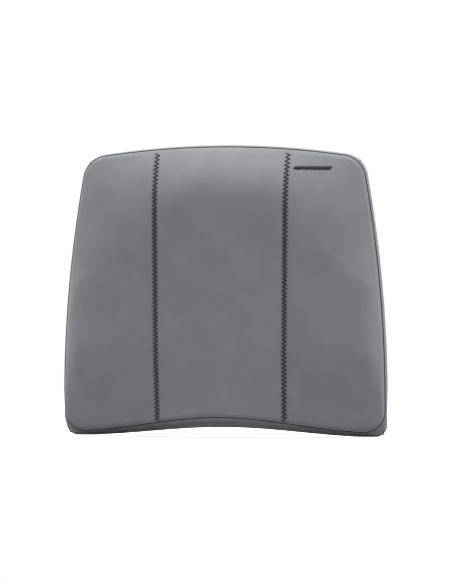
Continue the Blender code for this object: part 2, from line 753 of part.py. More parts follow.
def make_strap(name, bar_x, side, tail_end, finish):
    """A flat strap: its path thickened in plan and as high as the strap is wide."""
    path = strap_path(bar_x, side, tail_end)
    along = np.gradient(path, axis=0)
    along /= np.linalg.norm(along, axis=1)[:, None]
    across = np.stack([-along[:, 1], along[:, 0]], axis=-1) * STRAP_THICKNESS / 2
    rails = []
    for face, height in ((-1, -1), (1, -1), (1, 1), (-1, 1)):
        edge = path + face * across
        z = np.full(len(path), STRAP_Z + height * STRAP_WIDTH / 2)
        rails.append(np.stack([edge[:, 0], edge[:, 1], z], axis=-1))
    return swept_solid(name, rails, finish)


def side_at(up):
    """Half width of the back edge at a height on its side."""
    return BACK.side[0] + math.sqrt(SIDE_RADIUS**2 - (up - WIDEST_UP) ** 2)


BACK_EDGE_AT_STRAP = side_at(STRAP_UP + STRAP_WIDTH / 2)
SOCKET_BACK = SOCKET_MOUTH - SOCKET_LENGTH
SOCKET_BAR_X = SOCKET_BACK + WEB_BAR / 2
PLUG_START = SOCKET_MOUTH + GAP
WEB_SLOT = WRAP_CLEARANCE + STRAP_THICKNESS + 1.5 * MM  # clear space beside a web bar
PLUG_BAR_X = PLUG_START + PLUG_BASE + WEB_SLOT + WEB_BAR / 2


def make_bartacks(finish):
    for name, side in (("bartack_left", -1), ("bartack_right", 1)):
        x = side * (BACK_EDGE_AT_STRAP - STRAP_EDGE - BARTACK_WIDTH)
        top = GAP + STRAP_THICKNESS + GAP
        low = (x - BARTACK_WIDTH / 2, top, STRAP_Z - STRAP_WIDTH / 2 + 2 * MM)
        high = (x + BARTACK_WIDTH / 2, top + TRIM, STRAP_Z + STRAP_WIDTH / 2 - 2 * MM)
        block(name, low, high, finish)


def cut_web_slot(body, bar_x, inward, thickness):
    """Cuts the slot beside a web bar, and thins the bar so that the strap passes round it."""
    slot = sorted((bar_x + inward * WEB_BAR / 2, bar_x + inward * (WEB_BAR / 2 + WEB_SLOT)))
    deep = thickness + 2 * MM
    name = body.name
    combine(body, centred_block(f"guide_{name}_slot", slot, STRAP_MIDDLE, deep, SLOT_HALF_HEIGHT), "DIFFERENCE")
    beside = sorted((bar_x + inward * (WEB_BAR / 2 + 0.1 * MM), bar_x - inward * (WEB_BAR / 2 + 1 * MM)))
    for side, sign in (("front", -1), ("rear", 1)):
        middle = STRAP_MIDDLE + sign * (WEB_BAR / 2 + deep / 2)
        tool = centred_block(f"guide_{name}_{side}", beside, middle, deep, SLOT_HALF_HEIGHT)
        combine(body, tool, "DIFFERENCE")


def make_buckle_socket(finish):
    """A flat housing: open at its mouth, with a window in each side for a barb, and a web bar behind."""
    body = centred_block("buckle_socket", (SOCKET_BACK, SOCKET_MOUTH), STRAP_MIDDLE, SOCKET_THICKNESS,
                         PLATE_HALF_HEIGHT, finish=finish)
    soften(body, 1.2 * MM)
    inside = (SOCKET_MOUTH - CHANNEL_DEPTH, SOCKET_MOUTH + 2 * MM)
    tool = centred_block("guide_channel", inside, STRAP_MIDDLE, CHANNEL_THICKNESS, CHANNEL_HALF_HEIGHT)
    combine(body, tool, "DIFFERENCE")
    window = (SOCKET_MOUTH - WINDOW_START - WINDOW_LENGTH, SOCKET_MOUTH - WINDOW_START)
    tool = centred_block("guide_windows", window, STRAP_MIDDLE, CHANNEL_THICKNESS, PLATE_HALF_HEIGHT + 2 * MM)
    combine(body, tool, "DIFFERENCE")
    cut_web_slot(body, SOCKET_BAR_X, 1, SOCKET_THICKNESS)


def make_buckle_plug(finish):
    """The base that stays outside the socket, its web bar, and the tongue that guides it in."""
    body = centred_block("buckle_plug", (PLUG_START, PLUG_BAR_X + WEB_BAR / 2), STRAP_MIDDLE, PLUG_THICKNESS,
                         PLATE_HALF_HEIGHT, finish=finish)
    soften(body, 1.0 * MM)
    tongue = (SOCKET_MOUTH - TONGUE_LENGTH, PLUG_START + 2 * MM)
    tool = centred_block("guide_tongue", tongue, STRAP_MIDDLE, TONGUE_THICKNESS, TONGUE_HALF_HEIGHT)
    combine(body, tool, "UNION")
    cut_web_slot(body, PLUG_BAR_X, -1, PLUG_THICKNESS)


def make_buckle_prongs(finish):
    """Two springy arms beside the tongue, each with a barb that stands in a window of the socket."""
    root_x = SOCKET_MOUTH
    tip_x = root_x - PRONG_LENGTH
    barb_start = SOCKET_MOUTH - WINDOW_START - GAP
    barb_end = SOCKET_MOUTH - WINDOW_START - WINDOW_LENGTH + 1 * MM
    inner, outer = PRONG_ROOT, PRONG_ROOT + PRONG_WIDTH
    barb = CHANNEL_HALF_HEIGHT + BARB_OUT
    shape = [
        (root_x, inner), (root_x, outer), (barb_start + 1.5 * MM, outer), (barb_start, outer + 0.6 * MM),
        (barb_start, barb), (barb_end + 3 * MM, barb), (barb_end, CHANNEL_HALF_HEIGHT - GAP),
        (tip_x, outer - 1 * MM), (tip_x, inner),
    ]
    half = PRONG_THICKNESS / 2
    for name, sign in (("buckle_prong_upper", 1), ("buckle_prong_lower", -1)):
        outline = [(x, STRAP_Z + sign * z) for x, z in shape]
        plate(name, outline, STRAP_MIDDLE - half, STRAP_MIDDLE + half, finish)


def make_strap_slide(finish):
    """The adjuster: two bars outside both layers of the strap and a middle bar inside them."""
    low_y = INNER_LAYER - STRAP_THICKNESS / 2 - GAP - ADJUSTER_PLATE
    high_y = OUTER_LAYER + STRAP_THICKNESS / 2 + GAP + ADJUSTER_PLATE
    middle, thickness = (low_y + high_y) / 2, high_y - low_y
    half = ADJUSTER_LENGTH / 2
    ends = (ADJUSTER_X - half, ADJUSTER_X + half)
    body = centred_block("strap_slide", ends, middle, thickness, PLATE_HALF_HEIGHT, finish=finish)
    soften(body, 0.8 * MM)
    over = (ends[0] - 2 * MM, ends[1] + 2 * MM)
    tool = centred_block("guide_strap_way", over, middle, thickness - 2 * ADJUSTER_PLATE, SLOT_HALF_HEIGHT)
    combine(body, tool, "DIFFERENCE")
    opening = (ends[0] + ADJUSTER_BAR, ends[1] - ADJUSTER_BAR)
    tool = centred_block("guide_outer_window", opening, high_y, 2 * ADJUSTER_PLATE + 1 * MM, SLOT_HALF_HEIGHT)
    combine(body, tool, "DIFFERENCE")
    bar = ADJUSTER_MIDDLE_BAR / 2
    for name, span in (("left", (over[0], ADJUSTER_X - bar)), ("right", (ADJUSTER_X + bar, over[1]))):
        tool = centred_block(f"guide_inner_{name}", span, low_y, 2 * ADJUSTER_PLATE + 1 * MM, SLOT_HALF_HEIGHT)
        combine(body, tool, "DIFFERENCE")


def main():
    clear_scene()
    foam = material("foam", (0.82, 0.80, 0.72), 0.9)
    knit = material("grey_knit", (0.15, 0.15, 0.16), 0.85)
    thread = material("dark_thread", (0.02, 0.02, 0.03), 0.6)
    tape = material("zip_tape", (0.05, 0.05, 0.055), 0.9)
    coil = material("zip_coil", (0.03, 0.03, 0.035), 0.5)
    metal = material("dark_metal", (0.25, 0.25, 0.26), 0.35, 1.0)
    webbing = material("black_webbing", (0.02, 0.02, 0.022), 0.8)
    plastic = material("black_plastic", (0.02, 0.02, 0.02), 0.45)
    label = material("white_label", (0.8, 0.8, 0.78), 0.7)

    make_core(foam)
    make_front_panels(knit)
    make_bands(knit)
    make_back_panels(knit)
    make_seam_thread("panel_seam_left", -1, thread)
    make_seam_thread("panel_seam_right", 1, thread)
    make_front_mark(thread)
    make_care_label(label)
    make_zip_halves(tape, coil)
    make_zip_stops(metal)
    make_zip_slider(metal)
    make_zip_pull_tab(metal)
    make_strap("strap_webbing", SOCKET_BAR_X, -1, -TAIL_END, webbing)
    make_strap("strap_elastic", PLUG_BAR_X, 1, ELASTIC_TAIL_END, webbing)
    make_bartacks(thread)
    make_buckle_socket(plastic)
    make_buckle_plug(plastic)
    make_buckle_prongs(plastic)
    make_strap_slide(plastic)


main()
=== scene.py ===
# %% [markdown]
# # A lumbar cushion, sewn in numpy
#
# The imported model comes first: plain solids in metres, +Z up, with the cushion's front towards -Y. It says
# where everything is. The lines below load it, and the later cells make each real piece over its plain
# solid: the cloth panels, the band, the seams, the foam, the zip, and the strap with its buckle.

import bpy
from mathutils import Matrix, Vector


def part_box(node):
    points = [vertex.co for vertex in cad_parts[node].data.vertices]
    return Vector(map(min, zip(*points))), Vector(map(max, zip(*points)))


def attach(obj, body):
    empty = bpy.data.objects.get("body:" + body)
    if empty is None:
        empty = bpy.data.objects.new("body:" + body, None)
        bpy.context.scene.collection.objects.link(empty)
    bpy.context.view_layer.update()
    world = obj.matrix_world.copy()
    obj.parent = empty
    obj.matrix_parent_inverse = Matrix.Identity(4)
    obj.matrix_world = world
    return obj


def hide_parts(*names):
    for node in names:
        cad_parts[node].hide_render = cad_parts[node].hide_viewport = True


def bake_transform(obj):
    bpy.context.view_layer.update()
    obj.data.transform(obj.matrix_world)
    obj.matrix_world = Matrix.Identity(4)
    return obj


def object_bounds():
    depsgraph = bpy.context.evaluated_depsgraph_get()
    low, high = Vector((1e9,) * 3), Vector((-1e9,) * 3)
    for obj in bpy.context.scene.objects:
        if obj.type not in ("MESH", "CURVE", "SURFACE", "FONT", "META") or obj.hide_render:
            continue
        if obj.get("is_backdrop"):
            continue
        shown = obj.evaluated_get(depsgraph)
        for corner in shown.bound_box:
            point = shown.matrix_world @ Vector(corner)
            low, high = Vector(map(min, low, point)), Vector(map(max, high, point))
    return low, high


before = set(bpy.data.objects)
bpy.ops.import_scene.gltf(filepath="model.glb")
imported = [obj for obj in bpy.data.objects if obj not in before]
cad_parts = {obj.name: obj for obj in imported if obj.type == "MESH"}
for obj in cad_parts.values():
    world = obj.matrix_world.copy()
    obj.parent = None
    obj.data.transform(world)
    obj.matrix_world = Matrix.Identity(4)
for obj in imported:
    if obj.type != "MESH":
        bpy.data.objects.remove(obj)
cad_low, cad_high = (list(corner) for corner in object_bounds())

import bmesh
import bpy
import numpy as np
from mathutils import Vector

MM = 0.001
TURN = 2 * np.pi
print("model box, mm:", np.round(np.array([cad_low, cad_high]) * 1000, 1).tolist())

# %% [markdown]
# ## The outline
#
# A sewn cover starts as a pattern, so this scene starts with two closed curves: the seam round the back
# and the seam round the front. They could be drawn by hand as Bezier curves, but the arcs of a pattern are
# easier to keep fair as formulas. The sides are long shallow arcs, the top is a flatter one, and the lower
# edge is a cosine arch between two level feet. One parameter, u, walks round each half in six runs: the
# lower edge up to the band's joint (0 to 1), on to the corner (2), round it (3), up the side (4), round the
# shoulder (5) and along the top to the middle (6). A negative u is the same place on the left.

# %% Sizes of the cover
HALF_WIDTH = 185 * MM
WIDEST_UP = 39 * MM
SIDE_RADIUS = 1475 * MM
HEIGHT = 331 * MM
TOP_RADIUS = 950 * MM
TOP_CORNER = 28 * MM
BOTTOM_CORNER = 14 * MM
ARCH_RISE = 9.8 * MM
FOOT_LENGTH = 13 * MM
SIDE_DRAW = 2.0 * MM
TOP_DRAW = 2.5 * MM
BOTTOM_SLOPE = 0.245
FRONT_BOTTOM_CORNER = 24 * MM
BAND_JOINT = 82 * MM
RIM_DEPTH = 24 * MM
LUMBAR_DEPTH = 60 * MM
SIDE_FALL = 14 * MM
FALL_AT = 140 * MM
CORNER_DROP = 16 * MM
DROP_AT = 130 * MM
DROP_HEIGHT = 110 * MM
FLOOR = cad_low[2]
print("the cushion stands on z =", round(FLOOR * 1000, 1), "mm")

# %% Curves round the back and the front


def smooth_step(t):
    """0 below 0, 1 above 1, and 3 t^2 - 2 t^3 between."""
    t = np.clip(t, 0, 1)
    return t * t * (3 - 2 * t)


def lumbar_depth(x, up):
    """Depth of the pad: the middle's depth, less a parabola in x, less a further smooth drop at the
    lower corners, and never less than a little under the rim's depth."""
    fall = SIDE_FALL * (x / FALL_AT) ** 2
    drop = CORNER_DROP * smooth_step(np.abs(x) / DROP_AT) * (1 - smooth_step(up / DROP_HEIGHT))
    return np.maximum(LUMBAR_DEPTH - fall - drop, RIM_DEPTH - 4 * MM)


def lower_edge(x, front):
    """Height of the lower edge: half of 1 + cos over the width, times the arch's rise. The front edge is
    raised by a fixed share of the depth there."""
    reach = HALF_WIDTH - FOOT_LENGTH
    arch = ARCH_RISE * 0.5 * (1 + np.cos(np.pi * np.clip(np.abs(x) / reach, 0, 1)))
    return arch + (BOTTOM_SLOPE * lumbar_depth(x, 0 * x) if front else 0)


def meeting(first, first_radius, second, second_radius):
    """Where two circles cross, on the right: along the line of centres by (d^2 + r1^2 - r2^2) / 2d, then
    across it by the third side of the triangle."""
    apart = second - first
    distance = np.hypot(*apart)
    along = (distance**2 + first_radius**2 - second_radius**2) / (2 * distance)
    across = np.sqrt(first_radius**2 - along**2)
    unit = apart / distance
    side = np.array([unit[1], -unit[0]])
    both = np.array([first + along * unit + across * side, first + along * unit - across * side])
    return both[np.argmax(both[:, 0])]


def outline(u, front):
    """Points (x, up) of the back or the front seam at places u, by the six runs given above."""
    u = np.asarray(u, float)
    half_width = HALF_WIDTH - (SIDE_DRAW if front else 0)
    top = HEIGHT - (TOP_DRAW if front else 0)
    corner = FRONT_BOTTOM_CORNER if front else BOTTOM_CORNER
    side = np.array([half_width - SIDE_RADIUS, WIDEST_UP])
    crown = np.array([0.0, top - TOP_RADIUS])
    foot = float(lower_edge(np.array(half_width - corner), front))
    reach = np.sqrt((SIDE_RADIUS - corner) ** 2 - (foot + corner - WIDEST_UP) ** 2)
    low = np.array([side[0] + reach, foot + corner])
    high = meeting(side, SIDE_RADIUS - TOP_CORNER, crown, TOP_RADIUS - TOP_CORNER)
    low_turn, high_turn, crown_turn = (
        np.arctan2(*(to - of)[::-1]) for of, to in ((side, low), (side, high), (crown, high))
    )
    run = np.minimum(np.abs(u).astype(int), 5)
    t = np.abs(u) - run
    x = np.where(run == 0, BAND_JOINT * t, BAND_JOINT + (low[0] - BAND_JOINT) * t)
    level = np.stack([x, lower_edge(x, front)], axis=-1)
    bends = np.array([-np.pi / 2, low_turn, high_turn, crown_turn, np.pi / 2])
    centres = np.array([low, side, high, crown])
    radii = np.array([corner, SIDE_RADIUS, TOP_CORNER, TOP_RADIUS])
    which = np.clip(run - 2, 0, 3)
    angle = bends[which] + (bends[which + 1] - bends[which]) * t
    turned = centres[which] + radii[which, None] * np.stack([np.cos(angle), np.sin(angle)], axis=-1)
    points = np.where((run < 2)[..., None], level, turned)
    return points * np.stack([np.where(u < 0, -1, 1), np.ones_like(u)], axis=-1)


def outward(u, front):
    """Unit normals of the outline, from the points a little before and after."""
    near = 1e-3
    along = outline(np.minimum(u + near, 6), front) - outline(np.maximum(u - near, -6), front)
    across = np.stack([along[..., 1], -along[..., 0]], axis=-1)
    return across / np.linalg.norm(across, axis=-1, keepdims=True)


def inset(u, front, amount):
    """The outline moved inwards by an amount."""
    return outline(u, front) - amount * outward(u, front)


def lengths(line):
    """Distance along a line of points, from its start to each point."""
    return np.concatenate([[0], np.cumsum(np.linalg.norm(np.diff(line, axis=0), axis=1))])


def walk(start, end, share, front):
    """Places at shares, 0 to 1, of the way along the outline from start to end. Past 6 they run on down
    the left half, where u becomes u - 12."""
    fine = np.linspace(start, end, 4000)
    line = outline(np.where(fine > 6, fine - 12, fine), front)
    length = lengths(line)
    u = np.interp(np.asarray(share) * length[-1], length, fine)
    return np.where(u > 6, u - 12, u)


def graded(count, crowding):
    """Shares from 0 to 1, closer together at both ends: a mix of t and (1 - cos(pi t)) / 2."""
    t = np.linspace(0, 1, count)
    return (1 - crowding) * t + crowding * (1 - np.cos(np.pi * t)) / 2


ROUND = np.linspace(0, 1, 481)[:-1]
front_line = outline(walk(-6, 6, ROUND, True), True)
back_line = outline(walk(-6, 6, ROUND, False), False)
print("front seam, mm:", round(lengths(front_line)[-1] * 1000))

# %% [markdown]
# ## The relief of the foam
#
# The foam is moulded: a thin rim, then a shoulder that rises to an arched crest, then a broad lumbar pad.
# It could be sculpted, but a height over the outline says the same thing in a few lines and gives every
# piece of cloth, thread and foam the same surface to lie on. Along each ray from a point near the lower
# edge, t is 0 at the seam and 1 at the crest.

# %% Depth of the front
CREST_UP = HEIGHT - 59 * MM
CREST_CURVE = 3.8
POLE_UP = 10 * MM
EDGE_ROLL = 16 * MM
SHOULDER_POWER = 2.2
CREASE = 0.3
SOFTENING = 4 * MM
EDGE_FROM_POLE = outline(np.linspace(2.0, 6.0, 800), True) - [0, POLE_UP]


def edge_distance(angle):
    """Distance from the pole to the front seam at an angle, read off the outline."""
    angles = np.arctan2(EDGE_FROM_POLE[:, 1], EDGE_FROM_POLE[:, 0])
    return np.interp(angle, angles, np.hypot(*EDGE_FROM_POLE.T))


def crest_distance(angle):
    """Distance to the crest, the parabola up = CREST_UP - CREST_CURVE x^2: the positive root on a ray."""
    rise = CREST_UP - POLE_UP
    sine, cosine = np.sin(angle), np.cos(angle)
    return 2 * rise / np.maximum(sine + np.sqrt(sine**2 + 4 * CREST_CURVE * cosine**2 * rise), 1e-3)


def moulded_depth(x, up):
    """The rim's depth plus a rise to the pad's depth. The rise is 1 - (1 - t)^p, mixed on the flanks with
    a straight rise, which leaves a crease where it meets the pad."""
    x = np.abs(x)
    angle = np.arctan2(up - POLE_UP, x)
    edge = edge_distance(angle)
    crest = np.minimum(crest_distance(angle), edge - EDGE_ROLL)
    t = np.clip((edge - np.hypot(x, up - POLE_UP)) / (edge - crest), 0, 1)
    straight = CREASE * np.cos(angle)
    rise = straight * t + (1 - straight) * (1 - (1 - t) ** SHOULDER_POWER)
    return RIM_DEPTH + (lumbar_depth(x, up) - RIM_DEPTH) * rise


def soft_depth(x, up):
    """The moulded depth, averaged over a small ring and its centre, as cloth bridges a crease."""
    total = moulded_depth(x, up) * 2
    for turn in np.arange(8) * np.pi / 4:
        total = total + moulded_depth(x + SOFTENING * np.cos(turn), up + SOFTENING * np.sin(turn))
    return total / 10


print("depth in the middle, mm:", round(float(soft_depth(np.array(0.0), np.array(0.15))) * 1000, 1))

# %% [markdown]
# ## From arrays to pieces
#
# Every new piece is a grid of points worked out as whole arrays, then put into a mesh in one call. The
# helpers below join the grid's cells into faces, close a tube's ends, and attach the piece: it rides on a
# body of the model, stands for plain solids, and takes a finish.

# %% Grids and meshes


def cells(rows, columns, round_rows=False, round_columns=False):
    """Corner numbers of a grid's cells, stored row by row. A round direction joins its last to its first."""
    r = np.arange(rows if round_rows else rows - 1)
    c = np.arange(columns if round_columns else columns - 1)
    r, c = np.meshgrid(r, c, indexing="ij")
    r_next, c_next = (r + 1) % rows, (c + 1) % columns
    corners = [r * columns + c, r * columns + c_next, r_next * columns + c_next, r_next * columns + c]
    return np.stack(corners, axis=-1).reshape(-1, 4)


def volume_inside(points, faces):
    """Signed volume: a sixth of the sum of a . (b x c) over each quad's two triangles."""
    a, b, c, d = (points[faces[:, k]] for k in range(4))
    return (np.einsum("ij,ij->", a, np.cross(b, c)) + np.einsum("ij,ij->", a, np.cross(c, d))) / 6


def outside_out(points, faces):
    """Faces of a closed shape, turned over if its volume is negative. A triangle is a quad whose last two
    corners are the same, so its corners are turned without moving those."""
    if volume_inside(points, faces) > 0:
        return faces
    triangles = (faces[:, 2] == faces[:, 3])[:, None]
    return np.where(triangles, faces[:, [1, 0, 2, 3]], faces[:, ::-1])


def piece(name, points, faces, finish, body, stands_for=(), weave=None, wear=None):
    """A mesh object from arrays. weave gives each point its place on the cloth, in metres, as a UV map, and
    wear gives it a share from 0 to 1, which the finish can read."""
    points = np.asarray(points, float).reshape(-1, 3)
    mesh = bpy.data.meshes.new(name)
    triangles = faces[:, 2] == faces[:, 3]
    lists = [list(f[:3]) if flat else list(f) for f, flat in zip(faces.tolist(), triangles)]
    mesh.from_pydata(points.tolist(), [], lists)
    mesh.update()
    if weave is not None:
        layer = mesh.uv_layers.new(name="cloth")
        corner = np.empty(len(mesh.loops), np.int32)
        mesh.loops.foreach_get("vertex_index", corner)
        layer.data.foreach_set("uv", np.asarray(weave, np.float32).reshape(-1, 2)[corner].ravel())
    mesh.shade_smooth()
    if wear is not None:
        worn = mesh.attributes.new("wear", "FLOAT", "POINT")
        worn.data.foreach_set("value", np.asarray(wear, np.float32).ravel())
    mesh.materials.append(finish)
    thing = bpy.data.objects.new(name, mesh)
    bpy.context.collection.objects.link(thing)
    if body:
        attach(thing, body)
    if stands_for:
        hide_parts(*stands_for)
    return thing


def closed_tube(rings):
    """Points and faces of a tube through rings, an array (ring, side, xyz), with a point closing each end."""
    count, sides = rings.shape[:2]
    faces = cells(count, sides, round_columns=True)
    start, end = count * sides, count * sides + 1
    s = np.arange(sides)
    s_next = (s + 1) % sides
    last = (count - 1) * sides
    caps = np.concatenate([
        np.stack([s_next, s, 0 * s + start, 0 * s + start], axis=-1),
        np.stack([last + s, last + s_next, 0 * s + end, 0 * s + end], axis=-1),
    ])
    points = np.concatenate([rings.reshape(-1, 3), rings[0].mean(axis=0)[None], rings[-1].mean(axis=0)[None]])
    faces = np.concatenate([faces, caps])
    return points, outside_out(points, faces)


def round_tube(path, radius, sides=8, lobes=0.0, twist=0.0):
    """Rings round a path. Lobes make it a twisted cord: the radius is multiplied by
    1 + lobes cos(2 a - twist s), at angle a round it and distance s along it."""
    along = np.gradient(path, axis=0)
    along /= np.linalg.norm(along, axis=1, keepdims=True)
    first = np.cross(along, [0.0, 1.0, 0.0])
    first /= np.linalg.norm(first, axis=1, keepdims=True)
    second = np.cross(along, first)
    a = np.arange(sides) * TURN / sides
    size = radius * (1 + lobes * np.cos(2 * a - twist * lengths(path)[:, None]))
    ring = np.cos(a)[None, :, None] * first[:, None] + np.sin(a)[None, :, None] * second[:, None]
    return path[:, None] + size[..., None] * ring


def tube_weave(around, along):
    """A cloth map for a closed tube: a place round it for each side, a distance along it for each ring,
    and then its two end points."""
    rings = np.stack([np.tile(around, len(along)), np.repeat(along, len(around))], axis=-1)
    return np.concatenate([rings, [[0, 0], [0, along[-1]]]])


def grid_of(points):
    """Faces of a grid of points (row, column, xyz)."""
    return cells(*points.shape[:2])


def thicken(thing, amount):
    """Gives a sheet its thickness, inwards from the faces it has."""
    wall = thing.modifiers.new("thickness", "SOLIDIFY")
    wall.thickness = amount
    wall.offset = -1
    return thing


def distance_to(points, line):
    """Distance from each point (x, up) to a closed line: the least over its segments."""
    flat = points.reshape(-1, 2)
    nearest = np.full(len(flat), np.inf)
    for start, run in zip(line, np.roll(line, -1, axis=0) - line):
        share = np.clip((flat - start) @ run / (run @ run), 0, 1)
        nearest = np.minimum(nearest, np.hypot(*(flat - start - share[:, None] * run).T))
    return nearest.reshape(points.shape[:-1])


def patch(bottom, top, left, right, across, along):
    """A Coons patch: straight lines from bottom to top, plus straight lines from left to right, less the
    bilinear patch of the four corners, which both have counted."""
    s, t = across[None, :, None], along[:, None, None]
    upwards = (1 - t) * bottom[None] + t * top[None]
    sideways = (1 - s) * left[:, None] + s * right[:, None]
    corners = (1 - t) * ((1 - s) * bottom[0] + s * bottom[-1]) + t * ((1 - s) * top[0] + s * top[-1])
    return upwards + sideways - corners


def turned_edge(distance, radius):
    """How far cloth has turned down at a distance from its edge: r - sqrt(r^2 - (r - d)^2)."""
    short = np.clip(radius - distance, 0, radius)
    return radius - np.sqrt(radius**2 - short**2)


# %% [markdown]
# ## Finishes
#
# A finish is a small tree of nodes. Wiring it by hand hides the arithmetic, so a class wraps a socket and
# lets ordinary Python expressions add the Math nodes: 1 - mask is a Subtract node. Another helper adds any
# other node from its type, its settings and its inputs. Patterns are measured in metres on the cloth, from
# each piece's own map, or on the object where a piece is moulded.

# %% Sockets that take arithmetic


class Value:
    """A number that varies over a surface: an output socket, and the tree that it belongs to."""

    def __init__(self, tree, socket):
        self.tree, self.socket = tree, socket

    def maths(self, operation, *terms):
        """One Math node over the terms."""
        node = self.tree.nodes.new("ShaderNodeMath")
        node.operation = operation
        for slot, term in zip(node.inputs, terms):
            wire(self.tree, term, slot)
        return Value(self.tree, node.outputs[0])

    def __add__(self, other):
        return self.maths("ADD", self, other)

    def __sub__(self, other):
        return self.maths("SUBTRACT", self, other)

    def __rsub__(self, other):
        return self.maths("SUBTRACT", other, self)

    def __mul__(self, other):
        return self.maths("MULTIPLY", self, other)

    def __pow__(self, other):
        return self.maths("POWER", self, other)

    def wave(self):
        """Sine, from 0 to 1."""
        return self.maths("SINE", self) * 0.5 + 0.5

    def between(self, low, high):
        """0 at low, 1 at high, and a straight line between, kept inside 0 to 1."""
        node = self.tree.nodes.new("ShaderNodeMapRange")
        wire(self.tree, self, node.inputs["Value"])
        node.inputs["From Min"].default_value = low
        node.inputs["From Max"].default_value = high
        return Value(self.tree, node.outputs["Result"])


def wire(tree, term, slot):
    """Puts a number or a colour in a socket, or links a Value to it."""
    if isinstance(term, Value):
        tree.links.new(term.socket, slot)
    else:
        slot.default_value = term


class Finish:
    """A material under construction: nodes are added from their type, settings and inputs."""

    def __init__(self, name, **constants):
        self.material = bpy.data.materials.new(name)
        self.material.use_nodes = True
        self.tree = self.material.node_tree
        self.shader = self.tree.nodes["Principled BSDF"]
        for socket, value in constants.items():
            self.shader.inputs[socket.replace("_", " ")].default_value = value

    def node(self, kind, settings=None, output=0, **inputs):
        """Any shader node, as the Value of one of its outputs."""
        made = self.tree.nodes.new("ShaderNode" + kind)
        for setting, value in (settings or {}).items():
            setattr(made, setting, value)
        for slot, term in inputs.items():
            wire(self.tree, term, made.inputs[slot.replace("_", " ")])
        return Value(self.tree, made.outputs[output])

    def place(self, on_cloth=True):
        """The cloth's own map in metres, or the object's coordinates: the whole, then each axis."""
        if on_cloth:
            source = self.node("UVMap", {"uv_map": "cloth"})
        else:
            source = self.node("TexCoord", output="Object")
        axes = self.tree.nodes.new("ShaderNodeSeparateXYZ")
        wire(self.tree, source, axes.inputs[0])
        return source, *(Value(self.tree, axis) for axis in axes.outputs)

    def noise(self, where, scale, detail=3.0, roughness=0.55):
        """Noise from 0 to 1, with scale waves in a metre."""
        inputs = {"Vector": where, "Scale": scale, "Detail": detail, "Roughness": roughness}
        return self.node("TexNoise", None, "Fac", **inputs)

    def blend(self, factor, first, second):
        """A colour between two, through a Mix node. Colours are (r, g, b) or Values."""
        mix = self.tree.nodes.new("ShaderNodeMix")
        mix.data_type = "RGBA"
        wire(self.tree, factor, mix.inputs["Factor"])
        for slot, term in zip((mix.inputs[6], mix.inputs[7]), (first, second)):
            wire(self.tree, term if isinstance(term, Value) else (*term, 1.0), slot)
        return Value(self.tree, mix.outputs[2])

    def set(self, **inputs):
        """Fills inputs of the shader itself."""
        for socket, term in inputs.items():
            wire(self.tree, term, self.shader.inputs[socket.replace("_", " ")])

    def relief(self, height, distance, strength):
        """Bump from a height of 0 to 1 that stands for a distance in metres."""
        bump = self.node("Bump", None, "Normal", Strength=strength, Distance=distance, Height=height)
        wire(self.tree, bump, self.shader.inputs["Normal"])


print("finishes are built from Value and Finish")

# %% [markdown]
# ### Laminated knit
#
# The cover is a very fine knit bonded to a thin foam, matt and slightly furry, which is why it turns paler
# where it is seen edge-on: the sheen setting does that. Columns of tiny loops run up the cloth. Each loop
# row is a sine along the column, shifted by half between neighbours. Broad noise gives the faint clouding
# of a dyed knit, and a wear attribute, worked out with the shape, pales the crests a little.

# %% Grey knit


def knit(name, colour, pale, wale, course, depth):
    """A knit in two greys. wale and course are the widths of a loop across and along, in metres. The tone
    is a weighted sum of the loops, the fuzz, two scales of clouding and the wear."""
    made = Finish(name, Roughness=0.88, Sheen_Weight=0.22, Sheen_Roughness=0.45, Specular_IOR_Level=0.25)
    where, across, along, _ = made.place()
    column = across * (TURN / wale)
    loops = (along * (TURN / course) + column.wave() * 3.0).wave()
    height = column.wave() * 0.6 + loops * 0.4
    fuzz = made.noise(where, 900.0, 2.0)
    cloud = made.noise(where, 28.0, 4.0, 0.6)
    broad = made.noise(where, 7.0, 2.0)
    wear = made.node("Attribute", {"attribute_name": "wear"}, "Fac")
    clouding = (cloud - 0.5) * 0.54 + (broad - 0.5) * 0.3
    tone = height * 0.22 + fuzz * 0.3 + clouding + wear * 0.05 + 0.1
    made.set(Base_Color=made.blend(tone.between(0.0, 1.2), colour, pale))
    made.set(Roughness=0.95 - height * 0.1)
    made.relief(height * 0.8 + fuzz * 0.5, depth, 0.55)
    return made.material


cover_knit = knit("cover knit", (0.094, 0.097, 0.105), (0.170, 0.175, 0.188), 0.9 * MM, 1.1 * MM, 0.10 * MM)
back_knit = knit("back knit", (0.05, 0.052, 0.054), (0.11, 0.113, 0.116), 2.2 * MM, 2.6 * MM, 0.3 * MM)
print("made", cover_knit.name, "and", back_knit.name)

# %% [markdown]
# ### Thread, webbing, tape and moulded parts
#
# Thread is dark and slightly glossy, with the twist of its plies across it. Webbing and tape are woven: two
# sets of ribs that take turns, which a product of two sines draws. The buckle is moulded plastic with a fine
# spark grain and broad patches that are paler and smoother. The zip's slider is plated metal.

# %% Other finishes


def thread_finish(name, colour, pale, ply):
    """Thread: a slanted sine for the twist of its plies, which repeat after the length ply, and fibres."""
    made = Finish(name, Roughness=0.6, Sheen_Weight=0.03, Specular_IOR_Level=0.2)
    where, around, along, _ = made.place()
    twist = (along * (TURN / ply) + around * TURN).wave()
    fibre = made.noise(where, 2500.0, 2.0)
    made.set(Base_Color=made.blend(twist * 0.6 + fibre * 0.4, colour, pale), Roughness=0.62 - twist * 0.2)
    made.relief(twist, 0.12 * MM, 0.6)
    return made.material


